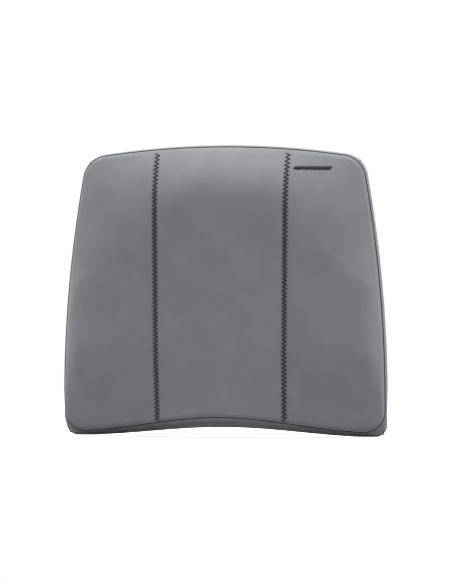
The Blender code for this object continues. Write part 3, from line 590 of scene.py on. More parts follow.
def woven(name, colour, pale, rib, pick, depth, roughness=0.7, sheen=0.12):
    """Ribs along the length and picks across it that take turns, like a basket. rib and pick are their
    widths in metres."""
    made = Finish(name, Roughness=roughness, Sheen_Weight=sheen, Sheen_Roughness=0.4)
    where, across, along, _ = made.place()
    ribs = (across * (TURN / rib)).wave()
    turns = (along * (TURN / pick) + ribs * np.pi).wave()
    fuzz = made.noise(where, 1500.0, 2.0)
    broad = made.noise(where, 40.0, 3.0)
    height = ribs * 0.5 + turns * 0.5
    tone = height * 0.6 + fuzz * 0.25 + (broad - 0.5) * 0.4
    made.set(Base_Color=made.blend(tone.between(0.1, 1.1), colour, pale))
    made.set(Roughness=roughness + 0.1 - height * 0.15)
    made.relief(height + fuzz * 0.3, depth, 0.8)
    return made.material


def moulded(name, colour, pale, roughness):
    """Plastic with a spark-eroded grain. Broad noise varies its gloss, as handling does."""
    made = Finish(name, Roughness=roughness, Specular_IOR_Level=0.5)
    where, *_ = made.place(on_cloth=False)
    spark = made.noise(where, 900.0, 3.0)
    rubbed = made.noise(where, 60.0, 3.0)
    made.set(Base_Color=made.blend(rubbed.between(0.35, 0.75), colour, pale))
    made.set(Roughness=roughness + 0.12 - rubbed * 0.25 + spark * 0.08)
    made.relief(spark, 0.05 * MM, 0.5)
    return made.material


def plated(name, colour):
    """Metal with fine scratches: noise stretched along X by scaling one axis of its coordinates."""
    made = Finish(name, Metallic=1.0, Roughness=0.35)
    where, x, y, z = made.place(on_cloth=False)
    stretched = made.node("CombineXYZ", X=x * 40.0, Y=y * 1500.0, Z=z * 1500.0)
    scratch = made.noise(stretched, 1.0, 3.0)
    smudge = made.noise(where, 120.0, 3.0)
    made.set(Base_Color=made.blend(smudge.between(0.3, 0.8), colour, tuple(0.7 * c for c in colour)))
    made.set(Roughness=scratch * 0.25 + smudge * 0.2 + 0.12)
    made.relief(scratch, 0.02 * MM, 0.3)
    return made.material


dark_thread = thread_finish("dark thread", (0.003, 0.003, 0.005), (0.014, 0.015, 0.019), 1.1 * MM)
grey_thread = thread_finish("grey thread", (0.035, 0.036, 0.038), (0.09, 0.092, 0.096), 0.9 * MM)
webbing = woven("webbing", (0.010, 0.010, 0.011), (0.045, 0.045, 0.048), 1.6 * MM, 2.2 * MM, 0.25 * MM)
elastic = woven("ribbed elastic", (0.010, 0.010, 0.011), (0.05, 0.05, 0.053), 2.4 * MM, 1.0 * MM, 0.3 * MM)
tape = woven("zip tape", (0.018, 0.018, 0.02), (0.06, 0.06, 0.064), 1.1 * MM, 0.9 * MM, 0.12 * MM)
ribbon = woven(
    "label ribbon", (0.62, 0.61, 0.58), (0.82, 0.81, 0.78), 0.6 * MM, 0.5 * MM, 0.05 * MM, 0.45, 0.3
)
nylon = moulded("coil nylon", (0.012, 0.012, 0.013), (0.04, 0.04, 0.042), 0.35)
plastic = moulded("moulded plastic", (0.011, 0.011, 0.012), (0.028, 0.028, 0.029), 0.42)
metal = plated("plated metal", (0.20, 0.20, 0.21))
print("materials so far:", len(bpy.data.materials))

# %% [markdown]
# ### Foam
#
# Moulded foam has a skin pricked with pores. Voronoi cells of two sizes make them: the distance to a
# cell's middle is the height of the bump, so each cell is a small pit.

# %% Foam


def porous(name, colour, pale):
    """Foam with pores of two sizes, and broad noise between two shades of cream."""
    made = Finish(name, Roughness=0.95)
    where, *_ = made.place(on_cloth=False)
    small = made.node("TexVoronoi", {"feature": "F1"}, "Distance", Vector=where, Scale=900.0)
    large = made.node("TexVoronoi", {"feature": "F1"}, "Distance", Vector=where, Scale=260.0)
    yellowing = made.noise(where, 12.0, 3.0)
    made.set(Base_Color=made.blend(yellowing.between(0.3, 0.7), colour, pale))
    made.relief((small + large.between(0.0, 0.35)) * 0.5, 0.4 * MM, 0.7)
    return made.material


foam = porous("moulded foam", (0.70, 0.67, 0.56), (0.80, 0.77, 0.68))
print("made", foam.name)

# %% [markdown]
# ## Front panels
#
# Three cut panels cover the front, joined by two upright seams. Each is a patch stretched between its four
# edges in the flat, then raised to the relief. Near the outer seam the cloth turns down in a quarter
# circle. Along the upright seams it is drawn into a valley, and each needle hole pulls a dimple. A cloth
# simulation could find these, but a seam this fine needs finer cloth than it can settle in minutes. So
# the seams are formulas, and only the soft swelling between them is simulated.

# %% Seams across the front
SEAM_BOTTOM = 72 * MM
SEAM_SPREAD = 2.5 * MM
SEAM_MARGIN = 0.9 * MM
SEAM_FOOT = 24 * MM
PITCH = 2.275 * MM
NEEDLE_REACH = 2.9 * MM
NARROW, WIDE = 0.8 * MM, 10 * MM
DIMPLE = 0.25 * MM
ROLL = 4.5 * MM
CLOTH = 2.4 * MM


def seam_x(up):
    """Distance of the upright seams from the middle: a straight line."""
    return SEAM_BOTTOM + SEAM_SPREAD * up / HEIGHT


SEAM_START = float(lower_edge(np.array(SEAM_BOTTOM), True)) + SEAM_MARGIN
SEAM_END = float(outline(np.array([5.5]), True)[0, 1]) - SEAM_MARGIN
HOLES = int((SEAM_END - SEAM_START) / PITCH)


def seam_pull(x, up):
    """How far the upright seams draw the cloth in: a narrow and a wide Gaussian valley, and a Gaussian
    dimple at each needle hole, on the right of the seam at even holes and on the left at odd ones."""
    off = x - np.where(x < 0, -1, 1) * seam_x(up)
    hole = np.clip(np.round((up - SEAM_START) / PITCH), 0, HOLES - 1)
    reach = np.where(hole % 2 == 0, NEEDLE_REACH, -NEEDLE_REACH)
    apart = (off - reach) ** 2 + (up - SEAM_START - hole * PITCH) ** 2
    valley = 0.15 * MM * np.exp(-((off / NARROW) ** 2)) + 0.5 * MM * np.exp(-((off / WIDE) ** 2))
    return valley + DIMPLE * np.exp(-apart / NARROW**2)


print("needle holes in each seam:", HOLES)

# %% Plans of the three panels
low_seam = seam_x(SEAM_FOOT) / BAND_JOINT
top_run = np.linspace(5, 6, 2000)
high_seam = float(np.interp(SEAM_BOTTOM + SEAM_SPREAD, outline(top_run, True)[::-1, 0], top_run[::-1]))
ACROSS, ALONG = graded(100, 0.6), graded(430, 0.15)


def straight(start, end, share):
    """Points at shares of the way along a straight line."""
    return start + (end - start) * share[:, None]


def plan_of(name, across, along):
    """A panel in the flat, as rows from the bottom up and columns from left to right."""
    if name == "center":
        bottom = outline(walk(-low_seam, low_seam, across, True), True)
        top = outline(walk(high_seam, 12 - high_seam, across, True), True)[::-1]
        left, right = (straight(bottom[end], top[end], along) for end in (0, -1))
        return patch(bottom, top, left, right, across, along)
    bottom = outline(walk(low_seam, 2.5, across, True), True)
    top = outline(walk(high_seam, 4.5, across, True), True)
    side = outline(walk(2.5, 4.5, along, True), True)
    right = patch(bottom, top, straight(bottom[0], top[0], along), side, across, along)
    return right if name == "right" else right[:, ::-1] * [-1, 1]


print("panel seam ends at place", round(high_seam, 3), "on the outline")

# %% [markdown]
# ### Swelling, by cloth simulation
#
# Cloth held at its seams over soft foam swells a little between them, most where the foam is hollow. That
# comes from Blender's Cloth, run on a coarse copy of each panel that is pinned round its edge and pushed
# out by a small pressure with gravity off. How far it moved is capped, read back as an array and drawn
# out to the fine grid by smooth curves, so the fine cloth takes the swelling and keeps its sharp seams.

# %% Simulate the swelling
SIM_ACROSS, SIM_ALONG = np.linspace(0, 1, 25), np.linspace(0, 1, 53)
AIR = 4
SWELL_CAP = 0.6 * MM


def swelling(points):
    """How far each point of pinned cloth moves in 20 frames of pressure: its length d is capped to
    cap tanh(d / cap)."""
    mesh = bpy.data.meshes.new("coarse cloth")
    mesh.from_pydata(points.reshape(-1, 3).tolist(), [], grid_of(points).tolist())
    sample = bpy.data.objects.new("coarse cloth", mesh)
    bpy.context.collection.objects.link(sample)
    held = np.ones(points.shape[:2], bool)
    held[1:-1, 1:-1] = False
    sample.vertex_groups.new(name="held").add(np.flatnonzero(held).tolist(), 1.0, "ADD")
    cloth = sample.modifiers.new("air", "CLOTH")
    cloth.settings.vertex_group_mass = "held"
    cloth.settings.use_pressure = True
    cloth.settings.uniform_pressure_force = AIR
    cloth.settings.effector_weights.gravity = 0
    cloth.point_cache.frame_start, cloth.point_cache.frame_end = 1, 20
    for frame_number in range(1, 21):
        bpy.context.scene.frame_set(frame_number)
    settled = sample.evaluated_get(bpy.context.evaluated_depsgraph_get()).data
    places = np.empty(points.size, np.float32)
    settled.vertices.foreach_get("co", places)
    shift = places.reshape(points.shape) - points
    bpy.data.objects.remove(sample)
    bpy.context.scene.frame_set(1)
    length = np.maximum(np.linalg.norm(shift, axis=-1, keepdims=True), 1e-9)
    return shift * SWELL_CAP * np.tanh(length / SWELL_CAP) / length


def drawn_through(values, share):
    """Catmull-Rom curves through values that are evenly spaced along the first axis."""
    place = share * (len(values) - 1)
    low = np.clip(place.astype(int), 0, len(values) - 2)
    t = (place - low)[:, None, None]
    a, b, c, d = (values[np.clip(low + k, 0, len(values) - 1)] for k in (-1, 0, 1, 2))
    return b + 0.5 * t * (c - a + t * (2 * a - 5 * b + 4 * c - d + t * (3 * (b - c) + d - a)))


def lifted_by_air(name):
    """The swelling of a panel, on its fine grid."""
    plan = plan_of(name, SIM_ACROSS, SIM_ALONG)
    x, up = plan[..., 0], plan[..., 1]
    shift = swelling(np.stack([x, -soft_depth(x, up), up + FLOOR], axis=-1))
    print(name, "swells by up to", round(float(np.linalg.norm(shift, axis=-1).max()) * 1000, 2), "mm")
    return drawn_through(drawn_through(shift, ALONG).swapaxes(0, 1), ACROSS).swapaxes(0, 1)


# %% Shape of the three panels
SEAM_EASE = 6 * MM
CREST_WEAR = 12 * MM


def front_surface(plan):
    """The cover's outer face over points (x, up): the relief, less the turned edge and the seams' pull,
    which fades towards the outline."""
    x, up = plan[..., 0], plan[..., 1]
    edge = distance_to(plan, front_line)
    pull = seam_pull(x, up) * smooth_step(edge / SEAM_EASE)
    depth = soft_depth(x, up) - turned_edge(edge, ROLL) - pull
    return np.stack([x, -depth, up + FLOOR], axis=-1)


front_shapes = {}
for side in ("left", "center", "right"):
    plan = plan_of(side, ACROSS, ALONG)
    surface = front_surface(plan) + lifted_by_air(side)
    front_shapes[side] = surface
    off_crest = plan[..., 1] - (CREST_UP - CREST_CURVE * plan[..., 0] ** 2)
    panel = piece(
        "cover_front_" + side, surface, grid_of(surface), cover_knit, "cushion",
        ["front_panel_" + side], plan, np.exp(-((off_crest / CREST_WEAR) ** 2)),
    )
    thicken(panel, CLOTH)
print("points in each panel:", len(ACROSS) * len(ALONG))

# %% [markdown]
# ## Band
#
# The band runs round the edge in six pieces and gives the cushion its thickness. A flat strip bent round
# would look like a box, but cloth over foam swells between its two seams. So the strip between the front
# seam and the back seam is pushed out by a power of a sine, full in the middle and steep at the seams, and
# it dips where two pieces meet. Where it would sink below the floor it lies flat on it.

# %% Six pieces of band
PULL = 0.9 * MM
SWELL = 2.3 * MM
BACK_ROLL = 3 * MM
DIP, DIP_REACH = 0.3, 1.2 * MM
BAND_ROWS = 15


def seam_point(u, front, amount):
    """A point of the front or the back seam, drawn in by an amount."""
    plan, edge = inset(u, front, amount), outline(u, front)
    depth = soft_depth(edge[:, 0], edge[:, 1]) - ROLL if front else np.full(len(u), BACK_ROLL)
    return np.stack([plan[:, 0], -depth, plan[:, 1] + FLOOR], axis=-1)


def band_surface(start, end, count):
    """Rows from the back seam to the front one, columns along the edge. Between the seams it swells by
    sin(pi v)^0.6, and less at the ends by a share, along the outline's normal."""
    u = walk(start, end, graded(count, 0.3), False)
    v = graded(BAND_ROWS, 0.5)[:, None, None]
    back, front = seam_point(u, False, PULL), seam_point(u, True, PULL)
    out = outward(u, False) * (1 - v) + outward(u, True) * v
    length = lengths(back)
    to_end = np.minimum(length, length[-1] - length)
    swell = SWELL * np.sin(np.pi * v[..., 0]) ** 0.6 * (1 - DIP * np.exp(-((to_end / DIP_REACH) ** 2)))
    points = back * (1 - v) + front * v
    points[..., 0] += out[..., 0] * swell
    points[..., 2] = np.maximum(points[..., 2] + out[..., 1] * swell, FLOOR)
    across = v[..., 0] * np.linalg.norm(front - back, axis=1)
    return points, np.stack([across, np.broadcast_to(length, across.shape)], axis=-1)


band_runs = {
    "bottom_left": (-2.5, -1.0, 90),
    "bottom_center": (-1.0, 1.0, 110),
    "bottom_right": (1.0, 2.5, 90),
    "right": (2.5, 4.5, 190),
    "top": (4.5, 7.5, 220),
    "left": (-4.5, -2.5, 190),
}
for side, (start, end, count) in band_runs.items():
    points, weave = band_surface(start, end, count)
    name = "band_" + side
    band = piece("cover_" + name, points, grid_of(points), cover_knit, "cushion", [name], weave)
    thicken(band, CLOTH)
print("band pieces:", len(band_runs))

# %% [markdown]
# ## Cords in the seams
#
# A near-black cord lies in the ditch of both perimeter seams and draws a dark line round the cushion: it
# stands for the seam's thread and is also painted shade in the seam's groove. A tube round a closed path does
# it.

# %% Ditch cords: thread and painted shade
DITCH_RADIUS = 0.7 * MM
DITCH_STEPS = 720
CORD_SIDES = 8
CORD_LENGTH = 1.3


def ditch(name, front, drawn_in):
    """A dark cord round one perimeter seam, thread and painted shade of its groove in one, drawn in from the
    outline by an amount, or out if negative.
    """
    u = walk(-6, 6, np.linspace(0, 1, DITCH_STEPS + 1)[:-1], front)
    path = seam_point(u, front, drawn_in)
    path[:, 2] = np.maximum(path[:, 2], FLOOR + DITCH_RADIUS)
    around, along = np.linspace(0, 1, CORD_SIDES), np.linspace(0, CORD_LENGTH, DITCH_STEPS)
    weave = np.stack(np.meshgrid(around, along), axis=-1)
    points = round_tube(path, DITCH_RADIUS, CORD_SIDES).reshape(-1, 3)
    faces = outside_out(points, cells(DITCH_STEPS, CORD_SIDES, round_rows=True, round_columns=True))
    return piece(name, points, faces, dark_thread, "cushion", (), weave)


# The two cords are dark thread and painted shade of the seams' grooves in one.
ditch("front_perimeter_seam", True, -0.4 * MM)
ditch("back_perimeter_seam", False, 0.4 * MM)
print("ditch threads made")

# %% [markdown]
# ## Stitches
#
# Every visible stitch is a short arched strand whose ends dive into the cloth. One function makes a whole
# row of them in a single mesh, from their middles, directions and normals. A texture of dashes would be
# lighter, but it would not catch the light or cast a shadow.

# %% Rows of stitches
STITCH_STEPS, STITCH_SIDES = 6, 6


def strand(direction, normal, length, radius, lift):
    """Rings of one arched strand round the origin: at t from -1 to 1 it is at direction t length / 2,
    raised by lift (1 - t^2) - radius, and its round section narrows at the ends as sqrt(1 - t^8)."""
    t = np.linspace(-1, 1, STITCH_STEPS)[:, None]
    a = (np.arange(STITCH_SIDES) * TURN / STITCH_SIDES)[:, None]
    line = direction * t * length / 2 + normal * (lift * (1 - t**2) - radius)
    size = radius * np.sqrt(np.maximum(1 - t**8, 0.06))
    return line[:, None] + size[:, None] * (np.cos(a) * np.cross(direction, normal) + np.sin(a) * normal)


def stitches(name, middles, direction, normal, sizes, thread, body="cushion", stands_for=()):
    """Equal strands at their middles, as one piece. The sizes are a strand's length, radius and lift."""
    one, faces = closed_tube(strand(np.array(direction, float), np.array(normal, float), *sizes))
    faces = faces + np.arange(len(middles))[:, None, None] * len(one)
    weave = tube_weave(np.arange(STITCH_SIDES) / STITCH_SIDES, np.linspace(0, sizes[0], STITCH_STEPS))
    weave = np.tile(weave, (len(middles), 1))
    points = middles[:, None] + one
    return piece(name, points, faces.reshape(-1, 4), thread, body, stands_for, weave)


def sewn_row(name, start, end, pitch, sizes, body="cushion"):
    """Running stitches in grey thread, evenly spaced on a straight line of the back."""
    start, end = np.array(start, float), np.array(end, float)
    reach = np.linalg.norm(end - start)
    count = int(reach / pitch)
    middles = straight(start, end, (np.arange(count) + 0.5) / count)
    return stitches(name, middles, (end - start) / reach, [0, 1, 0], sizes, grey_thread, body)


# %% [markdown]
# ### The two upright seams
#
# The panels are joined edge to edge by a zigzag of thick dark thread. Each strand is a cord of two plies
# that crosses from one needle hole to the next and stands proud between them.

# %% Zigzag threads
STRAND_STEPS = 12
THREAD = 0.52 * MM
SUNK, PROUD = 0.6 * MM, 0.5 * MM
PLY_DEPTH, PLY_LENGTH = 0.10, 1.9 * MM


def zigzag(name, side):
    """From hole to hole the thread goes by t - 0.05 sin(2 pi t). It is sunk in the cloth there, and rises
    between them by a square root of a sine."""
    s = np.arange((HOLES - 1) * STRAND_STEPS + 1) / STRAND_STEPS
    hole = np.minimum(s.astype(int), HOLES - 2)
    t = s - hole
    start = np.where(hole % 2 == 0, NEEDLE_REACH, -NEEDLE_REACH)
    share = t - 0.05 * np.sin(TURN * t)
    up = SEAM_START + (hole + share) * PITCH
    x = side * seam_x(up) + start * (1 - 2 * share)
    edge = distance_to(np.stack([x, up], axis=-1), front_line)
    rise = PROUD * np.sqrt(np.clip(np.sin(np.pi * t), 0, 1)) - SUNK
    depth = soft_depth(x, up) - turned_edge(edge, ROLL) + rise
    path = np.stack([x, -depth, up + FLOOR], axis=-1)
    points, faces = closed_tube(round_tube(path, THREAD, CORD_SIDES, PLY_DEPTH, TURN / PLY_LENGTH))
    weave = tube_weave(np.arange(CORD_SIDES) / CORD_SIDES, lengths(path))
    seam = "panel_seam_" + name
    return piece("thread_" + name, points, faces, dark_thread, "cushion", [seam], weave)


zigzag("left", -1)
zigzag("right", 1)
print("strands in each seam:", HOLES - 1)

# %% [markdown]
# ### A plain stitched mark
#
# A small bar of slanted satin stitches sits near the top right corner, in the thread of the seams.

# %% Front mark
MARK_X, MARK_UP, MARK_LENGTH, MARK_HEIGHT = 103 * MM, HEIGHT - 27 * MM, 44 * MM, 6 * MM
MARK_PITCH, MARK_MARGIN, MARK_SLANT = 1.05 * MM, 1.5 * MM, np.radians(62)
PROBE = 0.5 * MM
mark_x = MARK_X + np.arange(MARK_MARGIN - MARK_LENGTH / 2, MARK_LENGTH / 2 - MARK_MARGIN, MARK_PITCH)
face = front_shapes["right"].reshape(-1, 3)
away = np.hypot(face[None, :, 0] - mark_x[:, None], face[None, :, 2] - (MARK_UP + FLOOR))
mark_y = face[away.argmin(axis=1), 1]
below, above = soft_depth(np.full(2, MARK_X), MARK_UP + np.array([-PROBE, PROBE]))
slope = (below - above) / (2 * PROBE)
direction = np.array([np.cos(MARK_SLANT), np.sin(MARK_SLANT) * slope, np.sin(MARK_SLANT)])
outwards = np.array([0, -1, slope])
stitches(
    "stitched_mark", np.stack([mark_x, mark_y, np.full_like(mark_x, MARK_UP + FLOOR)], axis=-1),
    direction / np.linalg.norm(direction), outwards / np.linalg.norm(outwards),
    (MARK_HEIGHT / np.sin(MARK_SLANT), 0.5 * MM, 0.9 * MM), dark_thread, "cushion", ["front_mark"],
)
print("satin stitches in the mark:", len(mark_x))

# %% [markdown]
# ## Back of the cover
#
# The back is flat, because it rests against a chair, with a looser, coarser knit. Two panels meet at the
# zip. Each is a patch in the flat again, turned down at its outer edge and where it is folded under beside
# the zip, with shallow sags where nothing pulls it tight.

# %% Two back panels
ZIP_UP, ZIP_HALF = 36 * MM, 112 * MM
WINDOW_HALF, WINDOW_LENGTH = 6.9 * MM, 232 * MM
STEP_START, STEP_LENGTH = 3 * MM, 4 * MM
HALF_GAP = 0.3 * MM
SAG, SAG_EDGE, FOLD = 0.22 * MM, 20 * MM, 1.0 * MM
CREASE_DEPTH, CREASE_OFF, CREASE_WIDTH, CREASE_HALF = 0.25 * MM, 3 * MM, 1.4 * MM, 118 * MM
BACK_ACROSS = graded(230, 0.25)
back_run = np.linspace(3, 4, 2000)


def beside_zip(x, way):
    """Height of a back panel's inner edge: the zip's line, a small gap away, stepping clear of the window."""
    window = 1 - smooth_step((np.abs(x) - WINDOW_LENGTH / 2 + STEP_START) / STEP_LENGTH)
    return ZIP_UP + way * (HALF_GAP + (WINDOW_HALF - HALF_GAP) * window)


def back_panel(name, way, rows, corner, run):
    """A patch from the zip up (way 1) or down (way -1) to the outline between two places, with its sides
    ending at the corner. The face is turned down at the outline and at the zip, sags by a product of two
    slow waves, and has a faint crease beside the zip."""
    start = float(np.interp(ZIP_UP + way * HALF_GAP, outline(back_run, False)[:, 1], back_run))
    side = outline(walk(start, corner, rows, False), False)
    inner_x = side[0, 0] * (2 * BACK_ACROSS - 1)
    inner = np.stack([inner_x, beside_zip(inner_x, way)], axis=-1)
    outer = outline(walk(*run, BACK_ACROSS, False), False)[::-way]
    plan = patch(inner, outer, side * [-1, 1], side, BACK_ACROSS, rows)
    x, up = plan[..., 0], plan[..., 1]
    edge = distance_to(plan, back_line)
    beside = np.maximum(way * (up - beside_zip(x, way)), 0)
    sag = SAG * (1 + np.sin(x * 61 + 0.4) * np.sin(up * 47 + 1.1)) * smooth_step(edge / SAG_EDGE)
    crease = CREASE_DEPTH * np.exp(-(((beside - CREASE_OFF) / CREASE_WIDTH) ** 2))
    crease = crease * (1 - smooth_step((np.abs(x) - CREASE_HALF) / STEP_LENGTH))
    depth = turned_edge(edge, BACK_ROLL) + turned_edge(beside, FOLD) + sag + crease
    points = np.stack([x, -depth, up + FLOOR], axis=-1)[:, ::-way]
    panel = piece(
        "cover_" + name, points, grid_of(points), back_knit, "cushion", [name], plan[:, ::-way]
    )
    return thicken(panel, CLOTH)


back_panel("back_panel_upper", 1, graded(190, 0.35), 4.5, (4.5, 7.5))
back_panel("back_panel_lower", -1, graded(70, 0.35), 2.5, (-2.5, 2.5))
print("back panels made")

# %% [markdown]
# ## Foam
#
# One moulded block fills the cover. It is closed, so it is a set of rings: from a pole in the middle of
# the front, out to the edge, round it and back to a pole on the back, each a little inside the cloth.

# %% Foam block
UNDER = 3.6 * MM
FOAM_INSET, FOAM_ROLL = 4.5 * MM, 12 * MM
FOAM_STEPS = 240
POLE = np.array([0.0, 150 * MM])


def foam_ring(front, share):
    """A ring at a share of the way from the pole to the outline: under the relief on the front, with a
    rounded edge, and flat on the back."""
    u = walk(-6, 6, np.linspace(0, 1, FOAM_STEPS + 1)[:-1], front)
    plan = POLE + (inset(u, front, FOAM_INSET) - POLE) * share
    depth = np.full(FOAM_STEPS, UNDER + FOAM_INSET)
    if front:
        edge = distance_to(plan, front_line)
        depth = soft_depth(plan[:, 0], plan[:, 1]) - UNDER - turned_edge(edge, FOAM_ROLL)
    return np.stack([plan[:, 0], -depth, plan[:, 1] + FLOOR], axis=-1)


front_rings = [foam_ring(True, share) for share in 1 - (1 - np.linspace(0.02, 1, 40)) ** 1.3]
back_rings = [foam_ring(False, share) for share in np.linspace(1, 0.02, 16)]
foam_points, foam_faces = closed_tube(np.array(front_rings + back_rings))
foam_block = piece("foam_block", foam_points, foam_faces, foam, "cushion", ["foam_core"])
print("foam faces:", len(foam_faces))

# %% [markdown]
# ## Zip
#
# The zip closes the slot that the foam goes in by. Its two tapes are flat woven strips. Each row of teeth
# is a nylon wire wound in a coil. The lower coil is the upper one turned half round about the zip's line,
# so their loops meet there. The slider and its tab keep the shape of the plain solids, cleaned and given
# rounded edges.

# %% Swept strips


def swept(name, path, across, section, finish, body, stands_for):
    """A section of points (a, b) carried along a path: each point is path + a across + b upwards."""
    rings = path[:, None] + section[None, :, :1] * across[:, None] + section[None, :, 1:] * [0, 0, 1]
    points, faces = closed_tube(rings)
    weave = tube_weave(section[:, 1], lengths(path))
    return piece(name, points, faces, finish, body, stands_for, weave)


def flat_section(half_thickness, half_width):
    """A flat strip's section: two straight faces and two half-round edges."""
    turn = np.linspace(-np.pi / 2, np.pi / 2, 6)
    flat_half = half_width - half_thickness
    round_edge = [0, flat_half] + half_thickness * np.stack([np.sin(turn), np.cos(turn)], axis=-1)
    across = np.linspace(1, -1, 14)[1:-1] * flat_half
    flat = np.stack([np.full_like(across, half_thickness), across], axis=-1)
    return np.concatenate([round_edge, flat, -round_edge, -flat])


# %% Tapes and coils
ZIP_Z = FLOOR + ZIP_UP
COIL_Y, COIL_OFF, COIL_START = -1.9 * MM, 1.62 * MM, 0.4 * MM - ZIP_HALF
COIL_DEEP, COIL_WIDE, COIL_WIRE, COIL_PITCH = 0.72 * MM, 1.75 * MM, 0.4 * MM, 1.8 * MM
COIL_TURNS = -2 * COIL_START / COIL_PITCH
TURN_STEPS = 12
TAPE_STEPS = 121
for name, way in (("upper", 1), ("lower", -1)):
    low, high = (np.array(corner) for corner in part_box("zip_tape_" + name))
    middle, half = (low + high) / 2, (high - low) / 2
    line = np.linspace([low[0], *middle[1:]], [high[0], *middle[1:]], TAPE_STEPS)
    across = np.tile([0, 1, 0], (TAPE_STEPS, 1))
    section = flat_section(half[1], half[2])
    swept("tape_" + name, line, across, section, tape, "cushion", ["zip_tape_" + name])
    s = np.linspace(0, COIL_TURNS, int(COIL_TURNS * TURN_STEPS))
    coil = np.stack([
        COIL_START + s * COIL_PITCH,
        COIL_Y - way * COIL_DEEP * np.sin(TURN * s),
        ZIP_Z + way * (COIL_OFF + COIL_WIDE * np.cos(TURN * s)),
    ], axis=-1)
    points, faces = closed_tube(round_tube(coil, COIL_WIRE, 6))
    piece("coil_" + name, points, faces, nylon, "cushion", ["zip_coil_" + name])
print("turns in each coil:", int(COIL_TURNS))

# %% Rounded copies of moulded and cast pieces


def eased(name, new_name, finish, body, ease, segments):
    """A copy of a plain solid: its doubled points merged, its flat faces joined, its edges rounded."""
    mesh = bpy.data.objects[name].data.copy()
    work = bmesh.new()
    work.from_mesh(mesh)
    bmesh.ops.remove_doubles(work, verts=work.verts, dist=1e-6)
    bmesh.ops.dissolve_limit(work, angle_limit=np.radians(2), verts=work.verts, edges=work.edges)
    bmesh.ops.recalc_face_normals(work, faces=work.faces)
    work.to_mesh(mesh)
    work.free()
    mesh.shade_smooth()
    mesh.materials.clear()
    mesh.materials.append(finish)
    thing = bpy.data.objects.new(new_name, mesh)
    bpy.context.collection.objects.link(thing)
    bevel = thing.modifiers.new("eased edges", "BEVEL")
    bevel.width = ease
    bevel.segments = segments
    bevel.limit_method = "ANGLE"
    bevel.angle_limit = np.radians(35)
    bevel.harden_normals = True
    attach(thing, body)
    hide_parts(name)
    return thing


for name, new_name, body, ease in (
    ("zip_slider", "slider_body", "slider", 0.28 * MM),
    ("zip_pull_tab", "slider_tab", "pull", 0.25 * MM),
    ("zip_stop_start", "stop_start", "cushion", 0.25 * MM),
    ("zip_stop_end", "stop_end", "cushion", 0.25 * MM),
):
    eased(name, new_name, metal, body, ease, 2)
for name, new_name, body, ease in (
    ("buckle_socket", "socket_shell", "cushion", 0.9 * MM),
    ("buckle_plug", "plug_shell", "plug", 0.7 * MM),
    ("buckle_prong_upper", "prong_upper", "plug", 0.6 * MM),
    ("buckle_prong_lower", "prong_lower", "plug", 0.6 * MM),
    ("strap_slide", "slide_frame", "adjuster", 0.6 * MM),
):
    eased(name, new_name, plastic, body, ease, 3)
print("rounded copies made")

# %% [markdown]
# ## Strap
#
# A strap holds the cushion to a chair. Woven webbing is sewn down at one end, rises off the back, runs
# through the adjuster, turns round the bar of the socket and comes back over itself. A ribbed elastic does
# the same from the other end to the plug. Both are flat sections carried along the plain solids' path.

# %% Path of each side
STRAP_Z = FLOOR + 190 * MM
STRAP_WIDTH, STRAP_THICKNESS = 38 * MM, 1.6 * MM
INNER_Y, OUTER_Y = 14.8 * MM, 17.0 * MM
WRAP = 3.5 * MM
SEWN_START, SEWN_END, SEWN_Y, CLIMB_END = 173.7 * MM, 161.7 * MM, 1.1 * MM, 128 * MM
BAR_RUN, BEND = 18 * MM, 9 * MM
HEM, HEM_RADIUS = 5 * MM, 0.85 * MM
LONGEST, SHORTEST = 2.5 * MM, 0.05 * MM


def rounded(corners, radius):
    """Straight runs whose inner corners are quadratic curves: (1 - t)^2 a + 2 t (1 - t) b + t^2 c."""
    corners = [np.array(corner, float) for corner in corners]
    t = np.linspace(0, 1, 9)[:, None]
    runs = [corners[0][None]]
    for before, corner, after in zip(corners, corners[1:], corners[2:]):
        start = corner + (before - corner) / np.linalg.norm(before - corner) * radius
        end = corner + (after - corner) / np.linalg.norm(after - corner) * radius
        runs.append((1 - t) ** 2 * start + 2 * t * (1 - t) * corner + t**2 * end)
    return np.concatenate(runs + [corners[-1][None]])


def strap_line(side, bar_x, tail_x):
    """Points (x, y): from the sewn end up to the inner layer, round the bar, back along the outer layer,
    and over at the tail in a small hem."""
    sewn = [(side * SEWN_START, SEWN_Y), (side * SEWN_END, SEWN_Y), (side * CLIMB_END, INNER_Y)]
    climb = rounded([*sewn, (bar_x + side * BAR_RUN, INNER_Y)], BEND)
    turn = np.linspace(-np.pi / 2, np.pi / 2, 17)
    middle = (INNER_Y + OUTER_Y) / 2
    bar = np.stack([bar_x - side * WRAP * np.cos(turn), middle + WRAP * np.sin(turn)], axis=-1)
    fold = np.linspace(-np.pi / 2, np.pi / 2, 9)
    fold_x = tail_x + side * HEM_RADIUS * (np.cos(fold) - 2)
    over = np.stack([fold_x, OUTER_Y + HEM_RADIUS * (1 + np.sin(fold))], axis=-1)
    back = [[tail_x - side * HEM, OUTER_Y + 2 * HEM_RADIUS]]
    line = np.concatenate([climb, bar, [[bar_x + side * BAR_RUN, OUTER_Y]], over, back])
    length = lengths(line)
    fine = np.unique(np.concatenate([length, np.arange(0, length[-1], LONGEST)]))
    line = np.stack([np.interp(fine, length, line[:, k]) for k in (0, 1)], axis=-1)
    return line[np.insert(np.linalg.norm(np.diff(line, axis=0), axis=1) > SHORTEST, 0, True)]


def strap(name, side, bar_x, tail_x, finish, body, stands_for):
    """One side of the strap: a flat section carried along its path."""
    line = strap_line(side, bar_x, tail_x)
    along = np.gradient(line, axis=0)
    along /= np.linalg.norm(along, axis=1, keepdims=True)
    across = np.stack([-along[:, 1], along[:, 0], 0 * along[:, 0]], axis=-1)
    path = np.stack([line[:, 0], line[:, 1], np.full(len(line), STRAP_Z)], axis=-1)
    section = flat_section(STRAP_THICKNESS / 2, STRAP_WIDTH / 2)
    return swept(name, path, across, section, finish, body, stands_for)


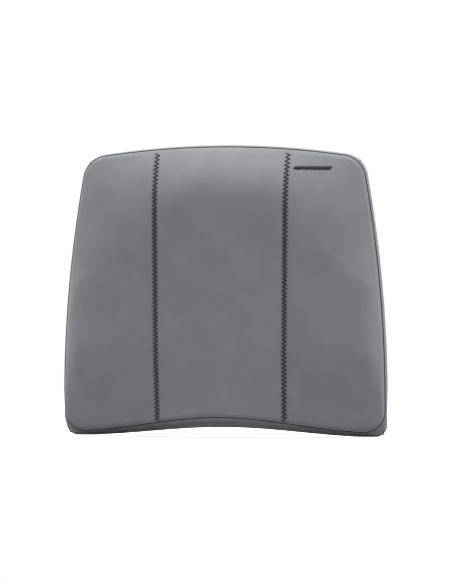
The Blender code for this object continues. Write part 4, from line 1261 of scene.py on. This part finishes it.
strap("webbing_strap", -1, -36.3 * MM, -122 * MM, webbing, "cushion", ["strap_webbing"])
elastic_strap = strap("elastic_strap", 1, 20.1 * MM, 46 * MM, elastic, None, ["strap_elastic"])
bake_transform(elastic_strap)
print("strap width, mm:", STRAP_WIDTH * 1000)

# %% Stitching on the strap
TACK_PITCH, TACK_MARGIN = 0.78 * MM, 0.5 * MM
TACK_LEAN = np.array([1, 0, 0.12]) / np.linalg.norm([1, 0, 0.12])
TACK_SIZES = 3.0 * MM, 0.42 * MM, 0.5 * MM
SEWING_SIZES, SEWING_PITCH = (2.3 * MM, 0.3 * MM, 0.35 * MM), 3.0 * MM
FROM_MIDDLE = 15.5 * MM
ON_WEBBING, ON_TAIL = SEWN_Y + 0.85 * MM, OUTER_Y + 2.5 * MM
for name in ("left", "right"):
    low, high = (np.array(corner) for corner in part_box("bartack_" + name))
    count = int((high[2] - low[2]) / TACK_PITCH)
    start, end = ([(low[0] + high[0]) / 2, low[1], z] for z in (low[2] + TACK_MARGIN, high[2] - TACK_MARGIN))
    middles = np.linspace(start, end, count)
    new_name, stands_for = "bartack_thread_" + name, ["bartack_" + name]
    stitches(new_name, middles, TACK_LEAN, [0, 1, 0], TACK_SIZES, dark_thread, "cushion", stands_for)

for row, z in (("low", STRAP_Z - FROM_MIDDLE), ("high", STRAP_Z + FROM_MIDDLE)):
    for strip, ends in (("webbing", (-172 * MM, -162.5 * MM)), ("elastic", (162.5 * MM, 172 * MM))):
        start, end = ((x, ON_WEBBING, z) for x in ends)
        sewn_row(f"{strip}_stitch_{row}", start, end, SEWING_PITCH, SEWING_SIZES)
for name, x, body in (("tail_stitch", -119.5 * MM, "cushion"), ("hem_stitch", 43.4 * MM, "plug")):
    start, end = ((x, ON_TAIL, STRAP_Z + z) for z in (-17 * MM, 17 * MM))
    sewn_row(name, start, end, SEWING_PITCH, SEWING_SIZES, body)
print("strap stitched")

# %% [markdown]
# ## Stitching round the zip, and the label
#
# Two rows of running stitches hold each tape to its panel. The label is a short woven ribbon, blank, sewn
# down along its upper edge, with corners that lift a little.

# %% Topstitching and label
TOP_SIZES, TOP_PITCH, TOP_Y, TOP_HALF = (2.6 * MM, 0.26 * MM, 0.3 * MM), 3.4 * MM, -0.25 * MM, 117 * MM
LABEL_SIZES, LABEL_PITCH, LABEL_MARGIN = (2.0 * MM, 0.24 * MM, 0.25 * MM), 2.8 * MM, 2 * MM
LABEL_LIFT = 0.9 * MM
for name, way in (("upper", 1), ("lower", -1)):
    for row, away in enumerate((2.6 * MM, 5.2 * MM)):
        z = ZIP_Z + way * (WINDOW_HALF + away)
        start, end = ((x, TOP_Y, z) for x in (-TOP_HALF, TOP_HALF))
        sewn_row(f"zip_stitch_{name}_{row}", start, end, TOP_PITCH, TOP_SIZES)

low, high = (np.array(corner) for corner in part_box("care_label"))
across, upwards = np.meshgrid(np.linspace(0, 1, 61), np.linspace(0, 1, 41))
lifted = LABEL_LIFT * (1 - upwards) ** 2 * (0.4 + 0.6 * np.cos(TURN * across) ** 2)
label_points = np.stack([
    high[0] + (low[0] - high[0]) * across, high[1] + lifted, low[2] + (high[2] - low[2]) * upwards,
], axis=-1)
label_weave = np.stack([across * 44 * MM, upwards * 28 * MM], axis=-1)
label = piece(
    "blank_label", label_points, grid_of(label_points), ribbon, "cushion",
    ["care_label"], label_weave,
)
thicken(label, 0.3 * MM)
start, end = ((x, high[1], high[2] - LABEL_MARGIN) for x in (low[0] + LABEL_MARGIN, high[0] - LABEL_MARGIN))
sewn_row("label_stitch", start, end, LABEL_PITCH, LABEL_SIZES)
print("label is", np.round((high - low) * 1000, 1).tolist(), "mm")

# %% [markdown]
# ## Camera, light and floor
#
# A long lens from three metres keeps the sides nearly parallel. A wide soft light stands up in front, two
# more model the shoulders from above on either side, one lights the back, and a pale world fills the
# shadows. The world is white where the camera sees it and much dimmer where it lights the cushion, which a
# Light Path node decides. The floor fades into the white with distance, so there is no horizon.

# %% Camera
AZIMUTH, ELEVATION, DISTANCE, LENS = np.radians(7.5), np.radians(0.8), 3.0, 163.5
middle = (np.array(cad_low) + np.array(cad_high)) / 2
target = np.array([middle[0] + 4 * MM, -30 * MM, FLOOR + HEIGHT / 2 - 1 * MM])
level = np.cos(ELEVATION)
towards = np.array([np.sin(AZIMUTH) * level, -np.cos(AZIMUTH) * level, np.sin(ELEVATION)])
camera = bpy.data.objects.new("camera", bpy.data.cameras.new("camera"))
camera.data.lens = LENS
camera.data.clip_end = 20
camera.location = target + towards * DISTANCE
camera.rotation_euler = (np.pi / 2 - ELEVATION, 0, AZIMUTH)
bpy.context.collection.objects.link(camera)
bpy.context.scene.camera = camera
bpy.context.scene.view_settings.view_transform = "Standard"
print("camera stands", DISTANCE, "m away")

# %% Light and floor


def area_light(name, place, size, power):
    """A square light at a place, aimed at the cushion's middle. Its size is in metres, its power in watts."""
    lamp = bpy.data.lights.new(name, "AREA")
    lamp.size, lamp.energy = size, power
    thing = bpy.data.objects.new(name, lamp)
    thing.location = place
    thing.rotation_euler = (Vector(place) - Vector(target)).to_track_quat("Z", "Y").to_euler()
    bpy.context.collection.objects.link(thing)


FILL = 0.2
area_light("upper_front", (0.0, -1.2, 1.9), 1.2, 50)
area_light("upper_left", (-1.5, -0.1, 1.6), 1.0, 56)
area_light("upper_right", (1.5, -0.1, 1.6), 1.0, 70)
area_light("behind", (-0.6, 2.2, 1.1), 1.4, 45)
world = bpy.data.worlds.new("studio")
world.use_nodes = True
sky = world.node_tree.nodes["Background"]
seen = world.node_tree.nodes.new("ShaderNodeLightPath")
strength = world.node_tree.nodes.new("ShaderNodeMapRange")
strength.inputs["To Min"].default_value = FILL
strength.inputs["To Max"].default_value = 1.0
world.node_tree.links.new(seen.outputs["Is Camera Ray"], strength.inputs["Value"])
world.node_tree.links.new(strength.outputs["Result"], sky.inputs["Strength"])
sky.inputs["Color"].default_value = (1, 1, 1, 1)
bpy.context.scene.world = world
FLOOR_REACH, FLOOR_DROP = 2.0, 0.4 * MM
FADE_START, FADE_END = 0.45, 1.1
GLOW = 0.7
corners = np.array([[-1, -1, 0], [1, -1, 0], [1, 1, 0], [-1, 1, 0]]) * FLOOR_REACH
corners[:, 2] = FLOOR - FLOOR_DROP
floor_mesh = bpy.data.meshes.new("floor")
floor_mesh.from_pydata(corners.tolist(), [], [[0, 1, 2, 3]])
floor_finish = Finish("floor", Roughness=0.9, Emission_Strength=GLOW)
_, x, y, _ = floor_finish.place(on_cloth=False)
by_camera = floor_finish.node("LightPath", None, "Is Camera Ray")
floor_finish.set(
    Base_Color=floor_finish.blend(by_camera, (0.5, 0.5, 0.5), (0.9, 0.9, 0.9)),
    Emission_Color=floor_finish.blend(by_camera, (0, 0, 0), (1, 1, 1)),
    Alpha=1 - ((x * x + y * y) ** 0.5).between(FADE_START, FADE_END),
)
floor_mesh.materials.append(floor_finish.material)
floor = bpy.data.objects.new("floor", floor_mesh)
bpy.context.collection.objects.link(floor)
floor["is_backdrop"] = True
print("floor at", round(FLOOR * 1000, 1), "mm")
